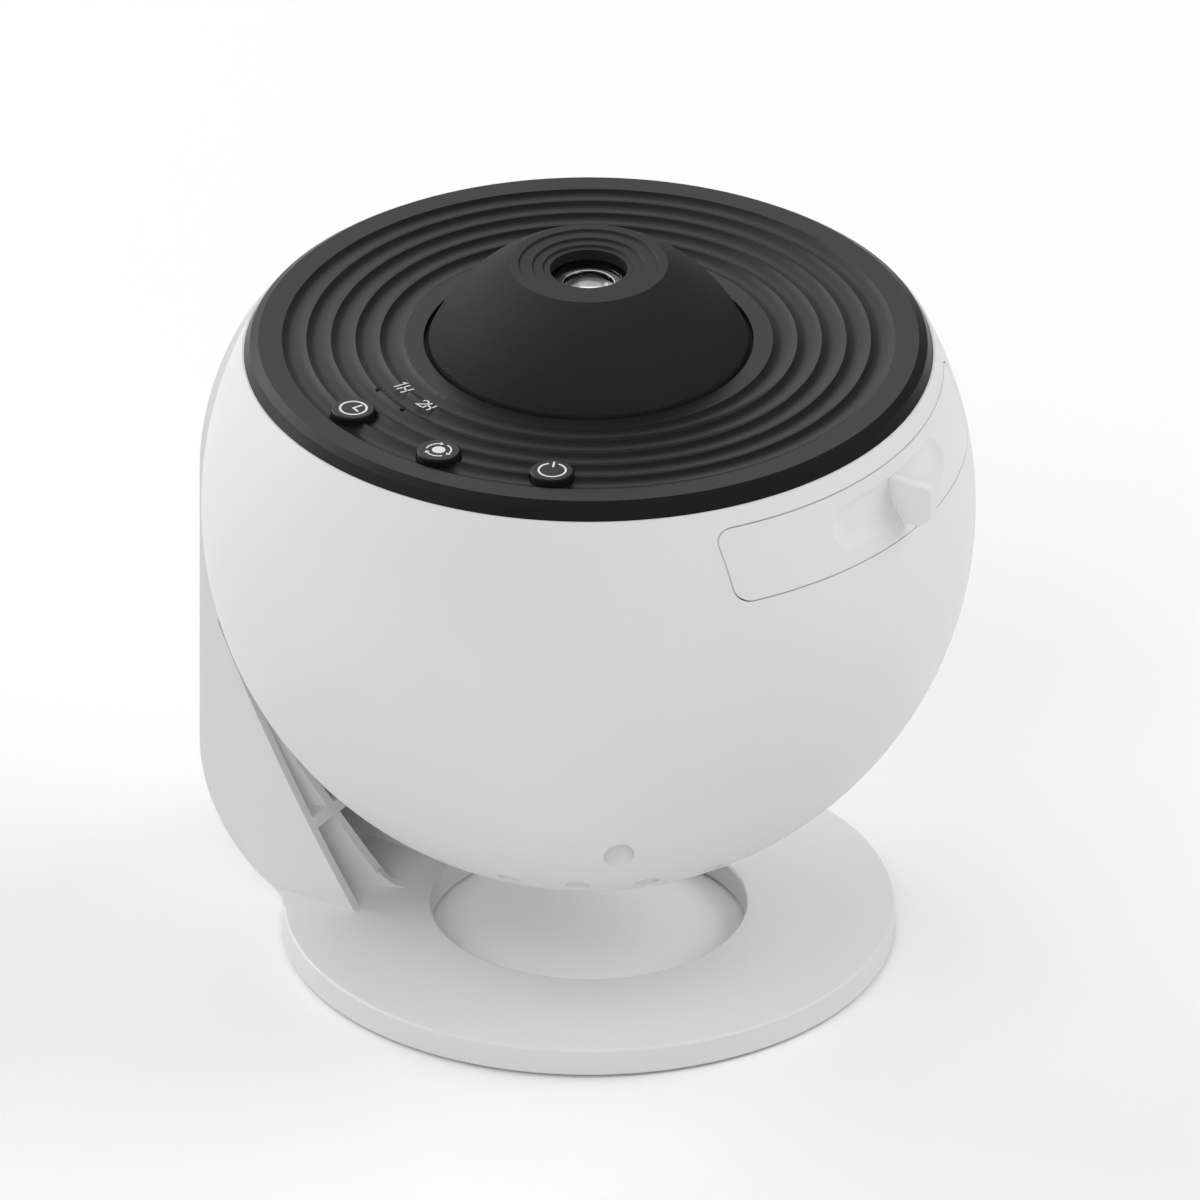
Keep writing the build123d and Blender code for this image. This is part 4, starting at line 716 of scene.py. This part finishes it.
def print_mark(name, ink, angle, circle, height, body):
    """Lay ink on a face at an angle round a circle, with the mark's top to the plate's centre."""
    thicken(ink)
    shape = bpy.data.meshes.new(name)
    ink.to_mesh(shape)
    ink.free()
    shape.materials.append(white_ink)
    mark = bpy.data.objects.new(name, shape)
    bpy.context.scene.collection.objects.link(mark)
    turn = math.radians(angle)
    outward = Vector((math.cos(turn), math.sin(turn), 0))
    mark.matrix_world = Matrix.Translation((*(outward * circle).xy, height)) @ Matrix.Rotation(
        turn + math.pi / 2, 4, "Z"
    )
    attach(mark, body)


power_radius = 0.00263
power_stroke = 0.0004
power_half_gap = 24
power_ink = bmesh.new()
power_arc = arc_points(power_radius, 90 + power_half_gap, 450 - power_half_gap, 56)
power_upright = [(0, 0.0013), (0, 0.0031)]
ink_line(power_ink, power_arc, power_stroke)
ink_line(power_ink, power_upright, power_stroke)
print_mark("power_mark", power_ink, power_angle, key_circle, key_top, "power_button")

rotate_radius = 0.00243
rotate_stroke = 0.00032
rotate_dot = 0.00131
arrow_sweep = 82
arrow_head_sweep = 16
arrow_wing = 0.0006
rotate_ink = bmesh.new()
ink_patch(rotate_ink, arc_points(rotate_dot, 0, 350, 35))
for neck in (-6, -126, -246):
    shaft = arc_points(rotate_radius, neck, neck + arrow_sweep, 18)
    ink_line(rotate_ink, shaft[::-1], rotate_stroke)
    ink_patch(
        rotate_ink,
        [
            point_at(rotate_radius, neck - arrow_head_sweep),
            point_at(rotate_radius + arrow_wing, neck),
            point_at(rotate_radius - arrow_wing, neck),
        ],
    )
print_mark("rotate_mark", rotate_ink, rotate_angle, key_circle, key_top, "rotate_button")

timer_radius = 0.002585
timer_stroke = 0.00043
timer_hands = [(0, 0.0019), (0, 0), (0.0015, 0)]
timer_ink = bmesh.new()
ink_line(timer_ink, arc_points(timer_radius, 0, 360, 72), timer_stroke, round_ends=False)
ink_line(timer_ink, timer_hands, timer_stroke)
print_mark("timer_mark", timer_ink, timer_angle, key_circle, key_top, "timer_button")

# ---------------------------------------------------------------- hour labels
# Two printed timer settings, one and two hours, beside the pinhole of the light that shows each.
# They are the same white ink, laid in the plate's scallops.
scallop_floor = 0.1308
label_stroke = 0.00033
label_top = 0.00145
hook_radius = 0.00085
hook_height = 0.0006
digit_right = -0.00045
h_left, h_right = 0.00015, 0.00175
one_line = [(-0.00150, 0.00085), (-0.00095, label_top), (-0.00095, -label_top)]
two_line = [
    (digit_right - hook_radius + x, hook_height + y)
    for x, y in arc_points(hook_radius, 165, -35, 12)
] + [(-0.00215, -label_top), (digit_right, -label_top)]
h_lines = (
    [(h_left, label_top), (h_left, -label_top)],
    [(h_right, label_top), (h_right, -label_top)],
    [(h_left, 0.0), (h_right, 0.0)],
)
for label_name, digit_line, label_angle, label_circle, label_size in (
    ("one_hour_mark", one_line, -119.7, 0.0406, 0.95),
    ("two_hour_mark", two_line, -107.6, 0.0408, 0.82),
):
    label_ink = bmesh.new()
    for line in (digit_line, *h_lines):
        ink_line(label_ink, [(label_size * x, label_size * y) for x, y in line], label_stroke)
    print_mark(label_name, label_ink, label_angle, label_circle, scallop_floor, "head")

# ---------------------------------------------------------------- focus dome
# Conical focus ring in black ABS, with a coarse leather-like grain for grip on its flank and an
# almost smooth nose. It turns by hand, and its cam slots move the lens barrel up and down.
nose_foot = 0.14628
nose_edge = 0.01542
nose_polish = 0.17
nose_smoothing = 0.9
radius_band, band_in, band_out = new_group(
    "radius band",
    [
        ("Inner Radius", "NodeSocketFloat", 0.0),
        ("Outer Radius", "NodeSocketFloat", 0.01),
    ],
    [("Band", "NodeSocketFloat")],
)
from_axis = radius_band.nodes.new("ShaderNodeVectorMath")
from_axis.operation = "MULTIPLY"
from_axis.inputs[1].default_value = (1.0, 1.0, 0.0)
radius_band.links.new(own_place(radius_band), from_axis.inputs[0])
reach = radius_band.nodes.new("ShaderNodeVectorMath")
reach.operation = "LENGTH"
radius_band.links.new(from_axis.outputs["Vector"], reach.inputs[0])
beyond_inner = calculate(
    radius_band, "GREATER_THAN", reach.outputs["Value"], band_in.outputs["Inner Radius"]
)
within_outer = calculate(
    radius_band, "LESS_THAN", reach.outputs["Value"], band_in.outputs["Outer Radius"]
)
radius_band.links.new(
    calculate(radius_band, "MULTIPLY", beyond_inner, within_outer), band_out.inputs["Band"]
)

dome_abs, dome_tree, dome_shader = new_material(
    "grained black ABS", colour=(0.021, 0.021, 0.021), roughness=0.55
)
dome_shader.inputs["Specular IOR Level"].default_value = 0.11
dome_grain = place_grain(
    dome_tree,
    colour=(0.0205, 0.0205, 0.0205),
    worn=(0.0235, 0.0235, 0.0235),
    roughness=0.58,
    swing=0.05,
    pores_per_metre=3600,
)
dome_axes = dome_tree.nodes.new("ShaderNodeSeparateXYZ")
dome_tree.links.new(own_place(dome_tree), dome_axes.inputs["Vector"])
nose_band = place_group(
    dome_tree, radius_band, {"Inner Radius": 0.0, "Outer Radius": nose_edge}
)
smooth_nose = calculate(
    dome_tree,
    "MULTIPLY",
    calculate(dome_tree, "GREATER_THAN", dome_axes.outputs["Z"], nose_foot),
    nose_band.outputs["Band"],
)
dome_roughness = calculate(
    dome_tree,
    "SUBTRACT",
    dome_grain.outputs["Roughness"],
    calculate(dome_tree, "MULTIPLY", smooth_nose, nose_polish),
)
grained_flank = calculate(
    dome_tree, "SUBTRACT", 1.0, calculate(dome_tree, "MULTIPLY", smooth_nose, nose_smoothing)
)
dome_height = calculate(dome_tree, "MULTIPLY", dome_grain.outputs["Height"], grained_flank)
dome_tree.links.new(dome_grain.outputs["Colour"], dome_shader.inputs["Base Color"])
dome_tree.links.new(dome_roughness, dome_shader.inputs["Roughness"])
relief(dome_tree, dome_shader, dome_height, depth=190e-6)
dress(dome_abs, "focus_dome")

# ---------------------------------------------------------------- lens group
# Two glass lenses in a barrel lacquered black, with a bright spacer between them. A dished ring
# screws in from the top to retain them, lacquered too but with its two edges left bare.
lacquer_black = (0.004, 0.004, 0.004)
lacquer_worn = (0.006, 0.006, 0.006)
lacquer_polish = 0.08
barrel_lacquer = moulded(
    "black lens lacquer",
    colour=lacquer_black,
    worn=lacquer_worn,
    roughness=lacquer_polish,
    swing=0.04,
    pores_per_metre=2600,
    depth=2e-6,
)
dress(barrel_lacquer, "lens_barrel")

lacquer_inner = 0.00512
lacquer_outer = 0.00638
ring_lacquer, ring_tree, ring_shader = new_material(
    "lacquer with bright edges", lacquer_black, lacquer_polish
)
ring_grain = place_grain(
    ring_tree,
    colour=lacquer_black,
    worn=lacquer_worn,
    roughness=lacquer_polish,
    swing=0.04,
    pores_per_metre=2600,
)
ring_band = place_group(
    ring_tree, radius_band, {"Inner Radius": lacquer_inner, "Outer Radius": lacquer_outer}
)
bare_edge = calculate(ring_tree, "SUBTRACT", 1.0, ring_band.outputs["Band"])
ring_colour = mixed(ring_tree, bare_edge, ring_grain.outputs["Colour"], (0.45, 0.45, 0.46, 1))
ring_tree.links.new(ring_colour, ring_shader.inputs["Base Color"])
ring_tree.links.new(bare_edge, ring_shader.inputs["Metallic"])
ring_tree.links.new(ring_grain.outputs["Roughness"], ring_shader.inputs["Roughness"])
dress(ring_lacquer, "lens_retainer")

spacer_metal = metal(
    "bright aluminium",
    colour=(0.86, 0.86, 0.86),
    tarnish=(0.8, 0.8, 0.8),
    fineness=(1, 1, 8),
    depth=4e-6,
)
dress(spacer_metal, "lens_spacer")
lens_glass = clear("lens glass", tint=(1.0, 1.0, 1.0), index=1.72, roughness=0.004)
dress(lens_glass, "front_lens", "rear_lens")

# ---------------------------------------------------------------- studio
# Pale floor that fades from the camera's sight into a white surround beyond half a metre, with
# soft lamps from all sides. Gloss and glass show the floor white, and the surround white on the
# arm's side and grey on the drawer's side, so the black plastic shines on one side only.
floor_half = 6.0
floor_grey = (0.8, 0.8, 0.8, 1)
shown_white = (1, 1, 1, 1)
fade_from = 0.45
fade_to = 0.9


def seen_rays(tree):
    """1 for a ray straight from the camera, and 1 for that or one by way of gloss or glass."""
    path = tree.nodes.new("ShaderNodeLightPath")
    in_gloss_or_glass = calculate(
        tree, "MAXIMUM", path.outputs["Is Glossy Ray"], path.outputs["Is Transmission Ray"]
    )
    straight = path.outputs["Is Camera Ray"]
    return straight, calculate(tree, "MAXIMUM", straight, in_gloss_or_glass)


floor_shape = bpy.data.meshes.new("floor")
floor_shape.from_pydata(
    [
        (-floor_half, -floor_half, 0),
        (floor_half, -floor_half, 0),
        (floor_half, floor_half, 0),
        (-floor_half, floor_half, 0),
    ],
    [],
    [(0, 1, 2, 3)],
)
floor = bpy.data.objects.new("floor", floor_shape)
bpy.context.scene.collection.objects.link(floor)
floor_paint = bpy.data.materials.new("white floor")
floor_paint.use_nodes = True
floor_tree = floor_paint.node_tree
floor_tree.nodes.clear()
floor_out = floor_tree.nodes.new("ShaderNodeOutputMaterial")
floor_straight, floor_seen = seen_rays(floor_tree)
floor_diffuse = floor_tree.nodes.new("ShaderNodeBsdfDiffuse")
floor_colour = mixed(floor_tree, floor_seen, floor_grey, shown_white)
floor_tree.links.new(floor_colour, floor_diffuse.inputs["Color"])
floor_distance = floor_tree.nodes.new("ShaderNodeVectorMath")
floor_distance.operation = "LENGTH"
floor_tree.links.new(own_place(floor_tree), floor_distance.inputs[0])
floor_fade = floor_tree.nodes.new("ShaderNodeMapRange")
floor_fade.inputs["From Min"].default_value = fade_from
floor_fade.inputs["From Max"].default_value = fade_to
floor_tree.links.new(floor_distance.outputs["Value"], floor_fade.inputs["Value"])
floor_air = floor_tree.nodes.new("ShaderNodeBsdfTransparent")
floor_edge = floor_tree.nodes.new("ShaderNodeMixShader")
floor_tree.links.new(
    calculate(floor_tree, "MULTIPLY", floor_fade.outputs["Result"], floor_straight),
    floor_edge.inputs["Fac"],
)
floor_tree.links.new(floor_diffuse.outputs["BSDF"], floor_edge.inputs[1])
floor_tree.links.new(floor_air.outputs["BSDF"], floor_edge.inputs[2])
floor_tree.links.new(floor_edge.outputs["Shader"], floor_out.inputs["Surface"])
floor_shape.materials.append(floor_paint)

surround = bpy.data.worlds.new("surround")
bpy.context.scene.world = surround
surround.use_nodes = True
surround_tree = surround.node_tree
surround_light = surround_tree.nodes["Background"]
surround_place = surround_tree.nodes.new("ShaderNodeTexCoord")
surround_axes = surround_tree.nodes.new("ShaderNodeSeparateXYZ")
surround_tree.links.new(surround_place.outputs["Generated"], surround_axes.inputs["Vector"])
gloss_colour = ramp(
    surround_tree,
    calculate(surround_tree, "MULTIPLY", surround_axes.outputs["X"], -1.0),
    (
        (0.05, (0.12, 0.12, 0.12, 1)),
        (0.75, shown_white),
    ),
)
surround_straight, surround_seen = seen_rays(surround_tree)
surround_colour = mixed(surround_tree, surround_straight, gloss_colour, shown_white)
surround_tree.links.new(surround_colour, surround_light.inputs["Color"])
surround_tree.links.new(surround_seen, surround_light.inputs["Strength"])

lamp_side = 1.1
lamp_distance = 1.4
lamp_aim = Vector((0, 0, 0.07))


def stand_off(held, aim, azimuth, elevation, distance):
    """Stand a lamp or camera off its aim. Azimuth 0 is in front, and 90 on the drawer's side."""
    turn = math.radians(azimuth)
    rise = math.radians(elevation)
    away = Vector(
        (
            math.sin(turn) * math.cos(rise),
            -math.cos(turn) * math.cos(rise),
            math.sin(rise),
        )
    )
    held.location = aim + distance * away
    held.rotation_euler = (-away).to_track_quat("-Z", "Y").to_euler()


for lamp_name, azimuth, elevation, power, shows_in_gloss in (
    ("front lamp", 0, 42, 7.3, False),
    ("front right lamp", 45, 12, 4.8, False),
    ("right lamp", 90, 42, 2.4, False),
    ("back right lamp", 135, 35, 10.4, False),
    ("back lamp", 180, 42, 1.0, False),
    ("back left lamp", 225, 42, 3.2, True),
    ("left lamp", 270, 27, 10.3, True),
    ("front left lamp", 315, 33, 1.9, False),
    ("top lamp", 0, 90, 1.35, False),
):
    softbox = bpy.data.lights.new(lamp_name, "AREA")
    softbox.shape = "SQUARE"
    softbox.size = lamp_side
    softbox.energy = power
    lamp = bpy.data.objects.new(lamp_name, softbox)
    lamp.visible_glossy = shows_in_gloss
    bpy.context.scene.collection.objects.link(lamp)
    stand_off(lamp, lamp_aim, azimuth, elevation, lamp_distance)
bpy.context.scene.view_settings.view_transform = "Standard"

# ---------------------------------------------------------------- camera
# It looks down on the front and the drawer's side in a parallel view, so upright lines stay
# upright. It aims near the middle of the projector's height, a little right of the ball's axis.
camera_azimuth = 32.5
camera_elevation = 29.32
camera_distance = 1.5
view_width = 0.2323
aim_height = 0.072884
aim_shift = 0.002207
camera = bpy.data.objects.new("camera", bpy.data.cameras.new("camera"))
bpy.context.scene.collection.objects.link(camera)
bpy.context.scene.camera = camera
camera.data.type = "ORTHO"
camera.data.ortho_scale = view_width
camera_turn = math.radians(camera_azimuth)
camera_right = Vector((math.cos(camera_turn), math.sin(camera_turn), 0))
camera_aim = Vector((0, 0, aim_height)) + aim_shift * camera_right
stand_off(camera, camera_aim, camera_azimuth, camera_elevation, camera_distance)
